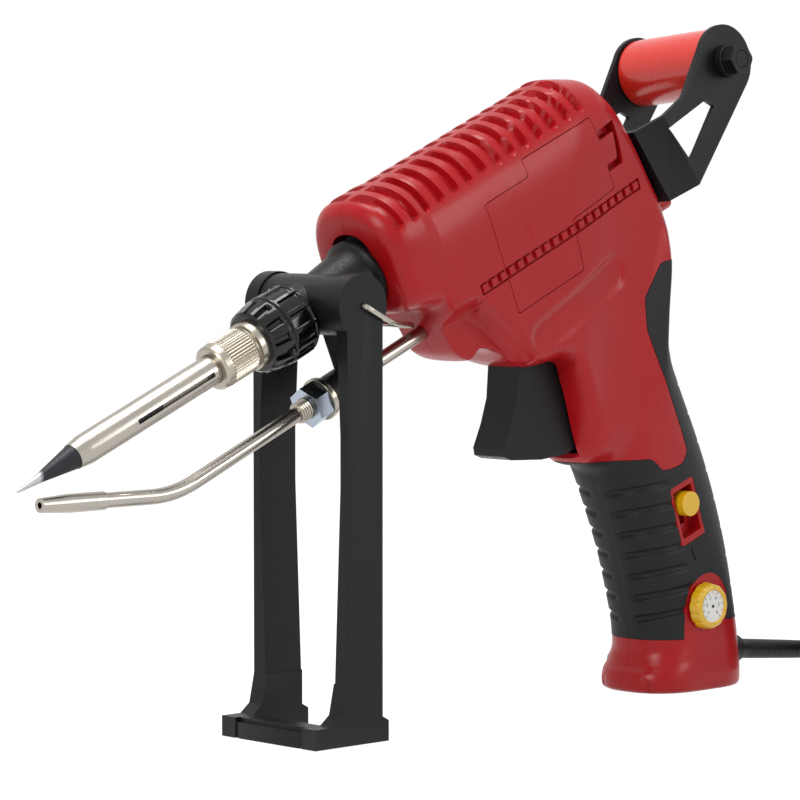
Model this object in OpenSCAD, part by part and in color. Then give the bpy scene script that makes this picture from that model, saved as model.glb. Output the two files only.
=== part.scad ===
// Solder-feeding soldering gun on a folding stand, in millimetres.
// +Z is up, the floor is z = 0, the barrel points towards -X and the feed cover is on the -Y side.
// The origin is on the floor, under the middle of the tool's own bounding box.

/* [Stance] */
// Height of the stand's hinge above the floor
pivot_h = 114.8; // [110:0.2:120]
// Nose-down angle of the barrel
tilt = 23.9; // [22:0.1:26]

/* [Body shells] */
// Distance from the stand's hinge to the body's front face
body_front = 17.5; // [17:0.1:19]
// Length of the body behind its front face
body_l = 104; // [100:1:108]
// Height of the body's top above the barrel axis
body_top = 20; // [19:0.5:22]
// Half of the body's width
body_half_w = 17.2; // [16.4:0.1:19]
// Wall thickness of the shells
wall = 2.4; // [1.8:0.1:2.8]
// Gap between the two shells at the seam
seam_gap = 0.1; // [0.05:0.05:0.2]
// Number of cooling slots over the top
vent_count = 14; // [6:1:14]
// Distance from one cooling slot to the next
vent_pitch = 5.95; // [5:0.05:6]
// Width of a cooling slot
vent_w = 3; // [2:0.1:3.6]
// Depth of a cooling slot
vent_depth = 1.3; // [0.6:0.1:1.6]

/* [Grip] */
// Height of the grip, from the floor to its root in the body
grip_h = 112; // [108:0.5:116]
// Length of the grip's foot
grip_l = 43.4; // [41:0.2:46]
// Half of the grip's width
grip_half_w = 14; // [13.4:0.1:15.5]
// Distance from the stand's hinge back to the front of the grip's foot
grip_front = 119.4; // [118:0.2:122]
// Thickness of the rubber over the grip
rubber_t = 1.6; // [1.2:0.1:1.8]

/* [Barrel] */
// Distance from the stand's hinge to the very tip
tip_reach = 108.1; // [104:0.1:112]
// Radius of the tip's shank
tip_r = 3.25; // [3:0.05:3.3]
// Length of the tip's exposed cone
tip_cone_l = 19; // [14:0.5:22]
// Radius of the heater sleeve
sleeve_r = 4; // [3.8:0.05:4.2]
// Radius of the knurled nut
knurl_r = 6.25; // [6:0.05:7]
// Length of the knurled nut
knurl_l = 12; // [10:0.5:13]
// Radius of the heater collar
collar_r = 10; // [9.5:0.1:11]
// Length of the heater collar
collar_l = 16; // [14:0.5:17]
// Radius of the nose tube
nose_r = 7.5; // [7:0.1:7.8]
// Radius of the nose cone where it meets the body
cone_r = 10.6; // [10:0.1:11.2]
// Radius of the cross tube that carries the stand
cross_r = 8; // [7.4:0.1:8.3]

/* [Stand] */
// Width of the stand over its two legs
stand_w = 36.9; // [36:0.1:39]
// Radius of the hinge bosses
boss_r = 8.5; // [8.4:0.1:9]
// Thickness of a hinge boss
boss_t = 4.7; // [4.2:0.1:5]
// Width of a leg, front to back
leg_w = 12.7; // [11:0.1:13.5]
// Thickness of a leg at its waist
leg_waist = 2.8; // [2.2:0.1:3.4]
// Length of the foot, front to back
foot_l = 26.3; // [24:0.1:30]
// Height of the foot
foot_h = 5.5; // [4.5:0.1:6.5]
// Diameter of the hinge wire
wire_d = 1.6; // [1.2:0.1:1.8]

/* [Solder feed] */
// Distance of the feed line below the barrel axis
feed_drop = 23.7; // [23.4:0.1:24.2]
// Radius of the guide tube
guide_r = 2; // [1.8:0.05:2.1]
// Bore radius of the guide tube and nozzle
solder_r = 0.8; // [0.6:0.05:0.9]
// Radius of the guide tube's bend
bend_r = 35; // [28:1:38]
// Distance from the stand's hinge to the start of the bend
bend_start = 56.5; // [54:0.5:58]
// Length of the straight run behind the outlet
outlet_l = 35.8; // [32:0.2:38]
// Radius of the drive wheel
drive_r = 7.1; // [6.8:0.05:7.2]
// Radius of the pinch wheel
pinch_r = 4.9; // [4.6:0.05:5]
// Teeth on the drive wheel's pinion
pinion_teeth = 12; // [11:1:13]
// Teeth that a full ring of the trigger's sector would have
sector_teeth = 38; // [36:1:40]

/* [Trigger] */
// Height of the trigger
trigger_h = 36.5; // [34:0.5:38]
// Width of the trigger
trigger_w = 12; // [10:0.2:12.4]
// Travel of the trigger about its pin
trigger_travel = 13; // [8:0.5:14]
// Radius of the trigger's pin
trigger_pin_r = 1.5; // [1.2:0.1:1.7]

/* [Controls] */
// Radius of the temperature dial
dial_r = 6.85; // [6.2:0.05:7.2]
// How far the dial stands out of the grip
dial_proud = 3.4; // [2.8:0.1:4]
// Number of finger grips round the dial
dial_lobes = 12; // [8:1:16]
// Radius of the power button's cap
button_r = 3.6; // [3.2:0.1:3.7]
// Travel of the power button
button_travel = 5; // [3:0.1:5.2]
// How far the power button stands out of the grip
button_proud = 2.4; // [1.8:0.1:3]

/* [Spool holder] */
// Width of the spool bracket
bracket_w = 36; // [35:0.2:38]
// Thickness of the bracket's sheet
bracket_t = 1.5; // [1.2:0.1:2]
// Backward pitch of the bracket on the body
bracket_pitch = 10; // [9.4:0.1:10.6]
// Turn of the bracket about its screw
bracket_skew = 5.4; // [4:0.1:6]
// Distance from the bracket's web to the roller's axle
axle_reach = 38.2; // [36:0.1:42]
// Radius of the bracket's cheeks round the axle
cheek_r = 10.6; // [10:0.1:12]
// Radius of the roller
roller_r = 9.75; // [9:0.05:9.9]
// Radius of the roller's axle bolt
axle_r = 2.5; // [2:0.05:2.6]

/* [Mains cord] */
// Diameter of the cord
cord_d = 4.8; // [4.4:0.1:5]
// Mean radius of the coil's turns
coil_r = 26; // [25:0.5:27]
// Turns in the coil, before its last half turn
coil_turns = 6; // [5:1:7]
// Clear space between neighbouring turns
coil_gap = 0.6; // [0.5:0.05:0.8]

/* [Hidden] */
$fn = 64;

// Overrun of every cut, and the clearance of fixed and of running fits
over = 1;
fit_gap = 0.05;
move_gap = 0.3;

// Where the tool stands: the tip is the foremost point and the grip's foot the rearmost
tip_end_r = 0.35;
tail_x = grip_front + grip_l;
nose_x = -tip_reach * cos(tilt) - tip_end_r * sin(tilt);
origin_x = (tail_x + nose_x) / 2;

// Body outline from the side, as shares of its length and of its top's height
body_lower_shares = [
    [0, -0.53], [0.06, -0.67], [0.14, -0.83], [0.25, -1], [0.31, -1.3], [0.35, -1.8],
    [0.38, -2.25], [0.45, -2.45], [0.64, -2.48], [0.83, -2.62], [0.91, -2.6], [0.94, -2.3],
    [0.975, -2], [1.005, -1.75], [1.02, -1.45]];
body_upper_shares = [[0.95, 0.58], [0.9, 0.88], [0.83, 1.03], [0.03, 1.03], [0.007, 0.94], [0, 0.83]];
rear_share = [0.98, 0.1];
pad_l = 25.4;
bracket_seat_share = 0.52;
neck_r = 8.5;

// Arch across the body, from its lower edge to the seam at the top
arch_shares = [
    [0.87, -2.8], [0.92, -2.2], [0.975, -1.5], [1, -0.8], [0.985, -0.2], [0.94, 0.2],
    [0.85, 0.55], [0.735, 0.75], [0.55, 0.9], [0.29, 0.985]];

// Body outline from above, from the front corner to the rear
plan_shares = [
    [0, 0.715], [0.005, 0.8], [0.018, 0.89], [0.043, 0.965], [0.09, 1.01], [0.4, 1.04],
    [0.8, 1.03], [0.89, 0.955], [0.947, 0.815], [0.995, 0.58], [1.04, 0.25]];

// Chin under the body that the guide tube leaves, and half its width
chin_shares = [
    [0.12, -0.75], [0.13, -1], [0.145, -1.235], [0.166, -1.625], [0.197, -1.76], [0.255, -1.685],
    [0.293, -1.83], [0.336, -2.09], [0.36, -2.275], [0.41, -2.35], [0.41, -1.5], [0.31, -0.8]];
chin_half_w = 8.6;

// Rows of the grip: height, front and rear as shares of the foot's length, and half width
grip_shares = [
    [0, 0.018, 0.986, 1.014], [0.011, 0, 0.998, 1.07], [0.04, 0.002, 1, 1.086],
    [0.067, 0.06, 1, 1.043], [0.112, 0.078, 0.993, 1], [0.196, 0.044, 0.968, 0.986],
    [0.321, -0.037, 0.903, 0.986], [0.446, -0.154, 0.804, 0.993], [0.554, -0.272, 0.703, 1],
    [0.593, -0.332, 0.659, 1.014], [0.621, -0.594, 0.618, 1.043], [0.679, -0.643, 0.539, 1.07],
    [0.768, -0.71, 0.419, 1.107], [0.857, -0.77, 0.276, 1.143], [0.929, -0.816, 0.18, 1.17],
    [1, -0.862, 0.134, 1.186], [1.071, -0.87, 0.132, 1.2], [1.134, -0.87, 0.12, 1.19]];
grip_sides = 28;
grip_power = 2.5;

// Rubber outline on the grip: shares of the foot's length and of the grip's height
rubber_shares = [
    [-0.8, 0.1375], [1.2, 0.1375], [1.2, 1.12], [0.1, 1.12], [-0.01, 1.11], [-0.15, 1.02],
    [-0.135, 0.94], [-0.035, 0.855], [0.097, 0.762], [0.23, 0.665], [0.272, 0.625], [0.22, 0.594],
    [0.124, 0.584], [0.025, 0.58], [-0.03, 0.6], [-0.08, 0.612], [-0.45, 0.607], [-0.8, 0.603]];

// Control panel on the grip's left side, places as shares of the foot's length and grip's height
dial_share = [0.468, 0.221];
arch_share = [0.509, 0.221];
switch_share = [0.286, 0.47];
switch_turn = 20;
switch_plate_w = 10.4;
switch_plate_l = 18;
slot_w = 2 * button_r + 2 * move_gap;
slider_l = 2 * button_r + 1.2;
slot_l = slider_l + button_travel + 2 * move_gap;
switch_w = slot_w + wall / 2;
switch_l = slot_l + wall / 2;
dial_stem_r = 3;
dial_base_y = grip_half_w + move_gap;
dial_arch_r = dial_r + 2.5;
panel_front_share = 0.29;
panel_top_share = 0.177;

// Small sizes of the shells
boss_wall = 2.4;
screw_r = 1.15;
screw_head_r = 2.7;
screw_head_t = 2.2;
screw_seat = 9;
screw_reach = 9;
screw_shares = [[0.1, 0.6], [0.87, 0.45], [0.84, -2], [0.235, -0.62]];
grip_screw_shares = [[0.2, 0.07], [-0.2, 0.75]];

// Feed cover outline, as shares of the body's length and of its top's height
cover_shares = [
    [0.343, -1.38], [0.62, -1.38], [0.632, -0.64], [0.825, -0.62], [0.81, 0.5],
    [0.525, 0.5], [0.521, 0.255], [0.343, 0.25]];
latch_shares = [[0.8, -0.25], [0.865, -0.25], [0.877, 0.13], [0.8, 0.13]];
latch_pocket_shares = [[0.815, -0.36], [0.886, -0.36], [0.896, 0.27], [0.815, 0.27]];
latch_pocket_t = 3;
latch_floor_t = 1.4;
cover_ledge = 1.5;
cover_gap = 0.15;
latch_t = wall / 2 - cover_gap;

// Trigger: its pin as shares of the body, its outline and pocket from the pin as shares of its height
trigger_pin_share = [0.4437, -2.139];
trigger_shares = [
    [-0.134, -0.163], [-0.151, -0.396], [-0.212, -0.589], [-0.294, -0.77], [-0.281, -0.828],
    [-0.206, -0.856], [0.122, -0.868], [0.397, -0.838], [0.539, -0.779], [0.473, -0.479],
    [0.405, -0.233], [0.356, -0.107], [0.489, -0.068], [0.489, 0.055], [0.31, 0.055], [0.205, 0.11],
    [0, 0.132], [-0.111, 0.083], [-0.143, 0]];
pocket_shares = [
    [-0.162, -1.135], [0.452, -1.135], [0.534, -0.844], [0.78, -0.844], [0.78, -0.068], [0.512, 0.227],
    [-0.096, 0.227], [-0.162, -0.068]];
pin_hold = 4;
sector_y = 3.2;
sector_t = 2.5;
spring_wire = 0.7;
spring_turns = 5;
spring_r = 2.2;
spring_x_share = 0.423;
spring_y = 3;
spring_l = 12.5;

// Feed train on its two side plates, places measured from the drive axle
drive_place_share = 0.466;
nip_gap = 1.1;
wheel_w = 5;
plate_y = 7;
plate_t = 1.5;
plate_front = 14;
plate_rear = 15;
plate_high = 8;
plate_low = 18.5;
pillar_r = 2.6;
pillar_places = [[-10.5, 3.5], [12, 4.5]];
seat_w = 5;
pinch_spring_l = 8;
pad_t = 2;
arm_t = 2.2;
arm_y = 3.3;
arm_l = 12;
arm_fall = 1.5;
arm_tail = 9;
arm_h = 4;
axle_pin_r = 1.2;
drive_axle_r = 1.5;
frame_screw_r = 1.3;
frame_screw_hold = 4.5;
frame_screw_head_r = 2.4;
frame_screw_head_t = 1.5;

// Solder inlet at the rear of the body
inlet_drop = 30.3;
inlet_r = 2.9;
inlet_proud = 13;
liner_r = 1.6;
liner_bore_r = 0.9;
liner_stop = 8;

// Barrel pieces, measured along the barrel
shank_l = 29;
shank_bore_r = 2.3;
sleeve_wall = 0.6;
sleeve_flange_r = 5.1;
sleeve_flange_l = 5.3;
sleeve_slot_w = 1.3;
sleeve_slot_l = 30;
core_r = 2.2;
spigot_r = 6;
spigot_l = 10;
nipple_r = 5.15;
nipple_l = 6.5;
nipple_bore_r = 3.5;
nose_l = 8.2;
nose_bore_r = 4;
cross_half_l = stand_w / 2 - boss_t - move_gap;
cone_start = 3;
ring_t = 2.6;
cone_end_r = 9.2;
boss_chamfer = 0.8;
neck_flange_t = 2.4;
neck_flange_r = 10.4;
pivot_spigot_r = 5;
pivot_spigot_l = 7.4;
knurl_grooves = 40;
knurl_depth = 0.45;

// Guide holder, bush, nut and washer
bush_r = 2.95;
bush_front = 17.8;
bush_rear = 8.5;
eye_r = 4.8;
eye_front = 7.4;
eye_rear = 8;
arm_front = 2;
arm_rear = 13;
arm_half_t = 3.5;
nut_t = 5;
nut_flats = 10;
washer_r = 5.9;
washer_t = 1.7;
nozzle_r = 2.4;
nozzle_tip_r = 1.85;
nozzle_body_l = 11.3;
nozzle_taper_l = 8.9;
nozzle_cup_l = 8;

// Stand legs and foot, front and rear measured from the hinge
leg_front = 5.6;
leg_root_t = 4.6;
waist_z = 74;
leg_flare_z = 16;
foot_front = 17;
foot_bar = 7;
foot_side = 5.4;
foot_step = 1.2;

// Spool bracket and its fixings
web_half_w = 12;
web_up = 7.4;
web_down = 16;
splay_l = 7.5;
cheek_top_l = 28;
axle_up = 6.1;
window_shares = [[0.19, 0.09], [0.64, 0.045], [0.69, -0.04], [0.3, -0.2], [0.23, -0.22]];
spacer_r = 4.7;
spacer_t = 2.6;
axle_nut_flats = 8;
axle_nut_t = 4;
bracket_screw_r = 2;
bracket_screw_l = 12;
bracket_screw_head_r = 3.6;
bracket_screw_head_t = 2.4;
roller_l = bracket_w - 2 * bracket_t - 2 * move_gap;
roller_bore_r = axle_r + fit_gap;
roller_dish = 2;

// Circuit board, potentiometer and switch inside the grip
board_share = [0.4, 0.37];
board_w = 24;
board_l = 46;
board_t = 1.6;
board_y = 1.4;
board_turn = 17;
pot_r = 7;
pot_l = 6;
switch_d = 6;
stem_w = 3;

// Mains cord
relief_z = 8.9;
relief_droop = 5.6;
relief_l = 45;
relief_flange_r = 4.2;
relief_flange_l = 7;
relief_cone_l = 2.4;
relief_r = 2.95;
relief_end_r = cord_d / 2 + 0.2;
relief_seat_r = 5.6;
clamp_w = 14;
clamp_end = 14;
tie_t = 0.8;
tie_w = 7;
tie_slack = 0.6;
coil_pitch = cord_d + coil_gap;
coil_layers = 4;
coil_total = coil_turns + 0.5;
coil_layer_turns = coil_total / coil_layers;
coil_low = tie_t + fit_gap + cord_d / 2;
coil_high = coil_low + (coil_layers - 1) * coil_pitch;
coil_out_r = coil_r + coil_pitch * coil_layer_turns / 2;
plug_l = 28;
plug_w = 25;
plug_h = 13;
blade_l = 17;
blade_w = 6.3;
blade_t = 1.5;
blade_gap = 12.7;

// Places worked out from the sizes above
function body_pt(s) = [body_front + s[0] * body_l, s[1] * body_top];
function grip_pt(s) = [grip_front + s[0] * grip_l, s[1] * grip_h];
function body_pts(list) = [for (s = list) body_pt(s)];
function grip_pts(list) = [for (s = list) grip_pt(s)];
function trigger_pt(s) = trigger_at + trigger_h * s;
function trigger_pts(list) = [for (s = list) trigger_pt(s)];
function in_barrel(p) = [
    p[0] * cos(tilt) + (p[1] - pivot_h) * sin(tilt),
    -p[0] * sin(tilt) + (p[1] - pivot_h) * cos(tilt)];
function in_stance(p) = [
    p[0] * cos(tilt) - p[1] * sin(tilt),
    pivot_h + p[0] * sin(tilt) + p[1] * cos(tilt)];

seam_run = 4 * wall;
rear_top = body_pt(rear_share);
rear_dir = [sin(bracket_pitch), -cos(bracket_pitch)];
rear_low = rear_top + pad_l * rear_dir;
bracket_seat = rear_top + bracket_seat_share * pad_l * rear_dir;
body_outline = concat(body_pts(body_lower_shares), [rear_low, rear_top], body_pts(body_upper_shares));
arch_outline = concat(
    [[-seam_run, arch_shares[0][1] * body_top]],
    [for (s = arch_shares) [s[0] * body_half_w, s[1] * body_top]],
    [[-seam_run, body_top]]);
plan_outline = concat(
    [[body_front, -seam_run], [body_front + plan_shares[10][0] * body_l, -seam_run]],
    [for (i = [len(plan_shares) - 1 : -1 : 0])
        [body_front + plan_shares[i][0] * body_l, plan_shares[i][1] * body_half_w]]);
body_rear = body_front + 1.1 * body_l;
body_low = 3 * body_top;
trigger_b = body_pt(trigger_pin_share);
trigger_at = in_stance(trigger_b);
trigger_half = trigger_w / 2 + 2 * move_gap;
drive_u = body_front + drive_place_share * body_l;
drive_at = [drive_u, nip_gap / 2 + drive_r - feed_drop];
pinch_at = [drive_u, -feed_drop - nip_gap / 2 - pinch_r];
arm_at = pinch_at + [arm_l, -arm_fall];
mesh_l = norm(drive_at - trigger_b);
nut_rear = -nose_l - fit_gap - collar_l;
nut_front = nut_rear - knurl_l - boss_chamfer - wall;
mouth_u = -tip_reach + tip_cone_l;
flange_u = nut_front + wall + fit_gap;
guide_rear = drive_u - drive_r + pillar_r / 2;
nozzle_start = outlet_l - nozzle_body_l - nozzle_taper_l;
switch_seat = grip_half_w - rubber_t - fit_gap;
frame_screw_end = plate_y + plate_t + frame_screw_hold;
spring_low_z = trigger_pt(trigger_shares[13])[1];
spring_top_z = spring_low_z + spring_l;
spring_x = trigger_pt([spring_x_share, 0])[0];
pin_end = trigger_half + pin_hold;
cover_outline = body_pts(cover_shares);
latch_outline = body_pts(latch_shares);
latch_pocket = body_pts(latch_pocket_shares);
tooth_m = 2 * mesh_l / (pinion_teeth + sector_teeth);
screw_places = body_pts(screw_shares);
grip_screw_places = grip_pts(grip_screw_shares);
dial_at = grip_pt(dial_share);
arch_at = grip_pt(arch_share);
switch_at = grip_pt(switch_share);
board_at = grip_pt(board_share);

// Frames: the stance has its origin under the hinge, the barrel on the hinge along the barrel
module stance() translate([-origin_x, 0, 0]) children();
module barrel() translate([0, 0, pivot_h]) rotate([0, -tilt, 0]) children();
module bracket_frame() translate([bracket_seat[0], -axle_up * sin(bracket_skew), bracket_seat[1]])
    rotate([0, -bracket_pitch, 0]) rotate([-bracket_skew, 0, 0]) children();
module relief_frame() translate([tail_x, 0, relief_z]) rotate([0, relief_droop, 0]) children();

// Outline in X and Z carried along Y, outline in Y and Z carried along X, and a turned profile along X
module across(y0, y1) translate([0, y1, 0]) rotate([90, 0, 0]) linear_extrude(y1 - y0) children();
module along(x0, x1) translate([x0, 0, 0]) rotate([90, 0, 90]) linear_extrude(x1 - x0) children();
module turned(points) rotate([0, 90, 0]) rotate_extrude() polygon(points);
module rod_y(x, z, y0, y1, r) translate([x, y1, z]) rotate([90, 0, 0]) cylinder(r = r, h = y1 - y0);
module rod_x(x0, x1, y, z, r) translate([x0, y, z]) rotate([0, 90, 0]) cylinder(r = r, h = x1 - x0);
module block(low, high) translate(low) cube(high - low);
module disc(at, r) translate(at) circle(r);
module bar(at, w, l, turn) translate(at) rotate([0, 0, turn]) square([w, l], center = true);

// Outline drawn in by a distance, each corner along its own bisector
function left_normal(a, b) = [a[1] - b[1], b[0] - a[0]] / norm(b - a);
function inset(p, d) = [for (i = [0 : len(p) - 1])
    let (b = p[i],
         n = left_normal(p[(i + len(p) - 1) % len(p)], b),
         m = left_normal(b, p[(i + 1) % len(p)]))
    b + d * (n + m) / (1 + n * m)];

// Solid through rings of points, each ring counted the same way round
module rings_solid(rings) {
    n = len(rings[0]);
    last = len(rings) - 1;
    polyhedron(
        points = [for (ring = rings) each ring],
        faces = concat(
            [[for (i = [0 : n - 1]) i]],
            [for (j = [0 : last - 1]) for (i = [0 : n - 1]) each
                let (a = j * n + i, b = j * n + (i + 1) % n, c = b + n, d = a + n)
                [[a, d, c], [a, c, b]]],
            [[for (i = [n - 1 : -1 : 0]) last * n + i]]));
}

// Rings of a tube along a route, each square to the route there
function unit(v) = v / norm(v);
function route_dir(p, i) = unit(p[min(i + 1, len(p) - 1)] - p[max(i - 1, 0)]);
function tube_rings(p, r, sides, up) = [for (i = [0 : len(p) - 1])
    let (d = route_dir(p, i), side = unit(cross(up, d)), top = cross(d, side))
    [for (k = [0 : sides - 1]) p[i] + r * (cos(360 * k / sides) * side + sin(360 * k / sides) * top)]];

// Body and grip, right half, drawn in by a distance; both run past the seam
module body_half(d) intersection() {
    across(-seam_run, body_half_w + wall) polygon(inset(body_outline, d));
    along(0, body_rear) polygon(inset(arch_outline, d));
    translate([0, 0, -body_low]) linear_extrude(body_low + 2 * body_top) polygon(inset(plan_outline, d));
}
module chin_half() intersection() {
    across(-seam_run, chin_half_w) polygon(body_pts(chin_shares));
    along(0, body_rear) polygon([
        [-seam_run, -body_low], [chin_half_w - wall, -body_low], [chin_half_w, -body_low + 4 * wall],
        [chin_half_w, 0], [-seam_run, 0]]);
}
function curved(v) = sign(v) * pow(abs(v), 2 / grip_power);
function grip_ring(s, d) =
    let (x0 = grip_front + s[1] * grip_l + d, x1 = grip_front + s[2] * grip_l - d,
         mid = (x0 + x1) / 2, half = (x1 - x0) / 2, b = s[3] * grip_half_w - d, z = s[0] * grip_h)
    concat([[x1, -seam_run, z]],
        [for (i = [0 : grip_sides / 2])
            let (t = 360 * i / grip_sides) [mid + half * curved(cos(t)), b * curved(sin(t)), z]],
        [[x0, -seam_run, z]]);
module grip_half(d) rings_solid([for (s = grip_shares) grip_ring(s, d)]);
module grip_hollow() intersection() {
    grip_half(wall + rubber_t);
    block([0, -seam_run - over, wall], [2 * tail_x, grip_l, 2 * grip_h]);
}

// Zone of the rubber on the grip; the left half leaves the control panel free
module rubber_zone(left) difference() {
    polygon(grip_pts(rubber_shares));
    if (left) {
        disc(arch_at, dial_arch_r);
        translate([grip_pt([panel_front_share, 0])[0], 0]) square([grip_l, panel_top_share * grip_h]);
        translate([grip_pt([panel_front_share, 0])[0], 0])
            square([arch_at[0] - grip_pt([panel_front_share, 0])[0], arch_at[1]]);
    }
}
module rubber_half(left) difference() {
    intersection() {
        grip_half(0);
        across(-seam_run, 2 * grip_half_w) rubber_zone(left);
    }
    grip_half(rubber_t);
    block([0, -seam_run - over, 0], [2 * tail_x, seam_gap / 2, 2 * grip_h]);
}

// Cooling slots of one half: cuts that follow the arch, from near the seam down the side
module vents() for (i = [0 : vent_count - 1]) {
    u = body_front + vent_pitch * (i + 0.9);
    along(u - vent_w / 2, u + vent_w / 2) difference() {
        translate([vent_w / 2, (0.57 + 0.05 * i / vent_count) * body_top])
            square([body_half_w, body_top]);
        polygon(inset(arch_outline, vent_depth));
    }
}

// What stays solid inside both halves, and what only the right half holds
module pin_place(at, r, y0) rod_y(at[0], at[1], y0, body_half_w, r);
module bosses(left) {
    barrel() {
        for (at = screw_places) pin_place(at, screw_r + boss_wall, -over);
        pin_place(trigger_b, trigger_pin_r + boss_wall, trigger_half);
        scale([1, left ? -1 : 1, 1]) bracket_frame()
            rod_x(-bracket_screw_l, over, 0, 0, bracket_screw_r + boss_wall);
    }
    for (at = grip_screw_places) pin_place(at, screw_r + boss_wall, -over);
}
module right_bosses() {
    barrel() for (at = pillar_places)
        pin_place(drive_at + at, frame_screw_r + boss_wall, plate_y + plate_t);
    block([spring_x - seat_w / 2, spring_y - seat_w / 2, spring_top_z],
        [spring_x + 1.3 * seat_w, body_half_w, spring_top_z + pad_t]);
    board_frame() for (z = [-board_l / 3, board_l / 3])
        rod_y(0, z, board_y + board_t, grip_half_w, boss_wall);
}
module board_frame() translate([board_at[0], 0, board_at[1]]) rotate([0, -board_turn, 0]) children();
module latch_floor() difference() {
    across(0, body_half_w) polygon(inset(latch_pocket, -latch_floor_t));
    body_half(latch_pocket_t + latch_floor_t);
}

// One shell in the right half's place, before its own side's openings
module shell_half(left) difference() {
    union() {
        difference() {
            barrel() union() {
                body_half(0);
                chin_half();
            }
            across(-seam_run - over, 2 * grip_half_w) intersection() {
                rubber_zone(left);
                translate([0, 0.7 * grip_h]) square([2 * tail_x, grip_h]);
            }
        }
        difference() {
            grip_half(0);
            difference() {
                across(-seam_run - over, 2 * grip_half_w) rubber_zone(left);
                grip_half(rubber_t);
            }
        }
    }
    difference() {
        union() {
            barrel() body_half(wall);
            grip_hollow();
        }
        bosses(left);
        if (!left) right_bosses();
        if (left) barrel() latch_floor();
    }
    across(-seam_run - over, trigger_half) polygon(trigger_pts(pocket_shares));
    barrel() {
        vents();
        rod_x(0, body_front + 2 * wall, 0, 0, neck_r + fit_gap);
        rod_x(0, drive_u, 0, -feed_drop, guide_r + fit_gap);
        rod_x(body_front + 0.9 * body_l, body_rear, 0, -inlet_drop, inlet_r + fit_gap);
        rod_y(trigger_b[0], trigger_b[1], 0, pin_end + fit_gap, trigger_pin_r + fit_gap);
        scale([1, left ? -1 : 1, 1]) bracket_frame()
            rod_x(-bracket_screw_l - over, over, 0, 0, bracket_screw_r + fit_gap);
    }
    relief_frame() rod_x(-2 * wall, over, 0, 0, relief_r + fit_gap);
    block([0, -seam_run - 2 * over, -over], [2 * tail_x, seam_gap / 2, 3 * grip_h]);
}

module left_shell() color("firebrick") stance() mirror([0, 1, 0]) difference() {
    shell_half(true);
    barrel() {
        difference() {
            across(0, 2 * body_half_w) polygon(cover_outline);
            body_half(wall / 2);
        }
        across(0, 2 * body_half_w) polygon(inset(cover_outline, cover_ledge));
        difference() {
            across(0, 2 * body_half_w) polygon(latch_pocket);
            body_half(latch_pocket_t);
        }
        for (at = screw_places) rod_y(at[0], at[1], -over, screw_reach + fit_gap, screw_r + fit_gap);
    }
    for (at = grip_screw_places) rod_y(at[0], at[1], -over, screw_reach + fit_gap, screw_r + fit_gap);
    rod_y(dial_at[0], dial_at[1], 0, 2 * grip_half_w, dial_stem_r + move_gap);
    across(0, 2 * grip_half_w) bar(switch_at, switch_w, switch_l, switch_turn);
    across(switch_seat - fit_gap, 2 * grip_half_w)
        bar(switch_at, switch_plate_w, switch_plate_l, switch_turn);
}

module right_shell() color("firebrick") stance() difference() {
    shell_half(false);
    barrel() {
        for (at = screw_places) screw_hole(at);
        for (at = pillar_places)
            rod_y(drive_at[0] + at[0], drive_at[1] + at[1], 0, frame_screw_end + fit_gap,
                frame_screw_r + fit_gap);
    }
    for (at = grip_screw_places) screw_hole(at);
}
module screw_hole(at) {
    rod_y(at[0], at[1], -over, screw_seat + over, screw_r + fit_gap);
    pin_place(at, screw_head_r + fit_gap, screw_seat);
}

module left_grip_rubber() color("dimgray") stance() mirror([0, 1, 0]) difference() {
    rubber_half(true);
    across(0, 2 * grip_half_w)
        bar(switch_at, switch_plate_w + 2 * fit_gap, switch_plate_l + 2 * fit_gap, switch_turn);
    relief_frame() rod_x(-relief_l, relief_l, 0, 0, relief_seat_r);
}
module right_grip_rubber() color("dimgray") stance() difference() {
    rubber_half(false);
    relief_frame() rod_x(-relief_l, relief_l, 0, 0, relief_seat_r);
}

module feed_cover() color("firebrick") stance() mirror([0, 1, 0]) barrel() {
    difference() {
        intersection() {
            body_half(0);
            across(0, 2 * body_half_w) polygon(inset(cover_outline, cover_gap));
        }
        body_half(wall / 2 - cover_gap);
    }
    difference() {
        intersection() {
            body_half(wall / 4);
            across(0, 2 * body_half_w) polygon(inset(cover_outline, cover_ledge + cover_gap));
        }
        body_half(wall);
    }
    difference() {
        intersection() {
            body_half(0);
            across(0, 2 * body_half_w) polygon(latch_outline);
        }
        body_half(latch_t);
    }
}

module housing_screws() color("silver") stance() {
    barrel() for (at = screw_places) housing_screw(at);
    for (at = grip_screw_places) housing_screw(at);
}
module housing_screw(at) difference() {
    union() {
        rod_y(at[0], at[1], -screw_reach, screw_seat + fit_gap, screw_r);
        rod_y(at[0], at[1], screw_seat, screw_seat + screw_head_t, screw_head_r);
    }
    for (turn = [0, 90]) translate([at[0], screw_seat + screw_head_t, at[1]]) rotate([0, turn, 0])
        cube([screw_r / 2, screw_head_t, 3 * screw_r], center = true);
}

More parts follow.
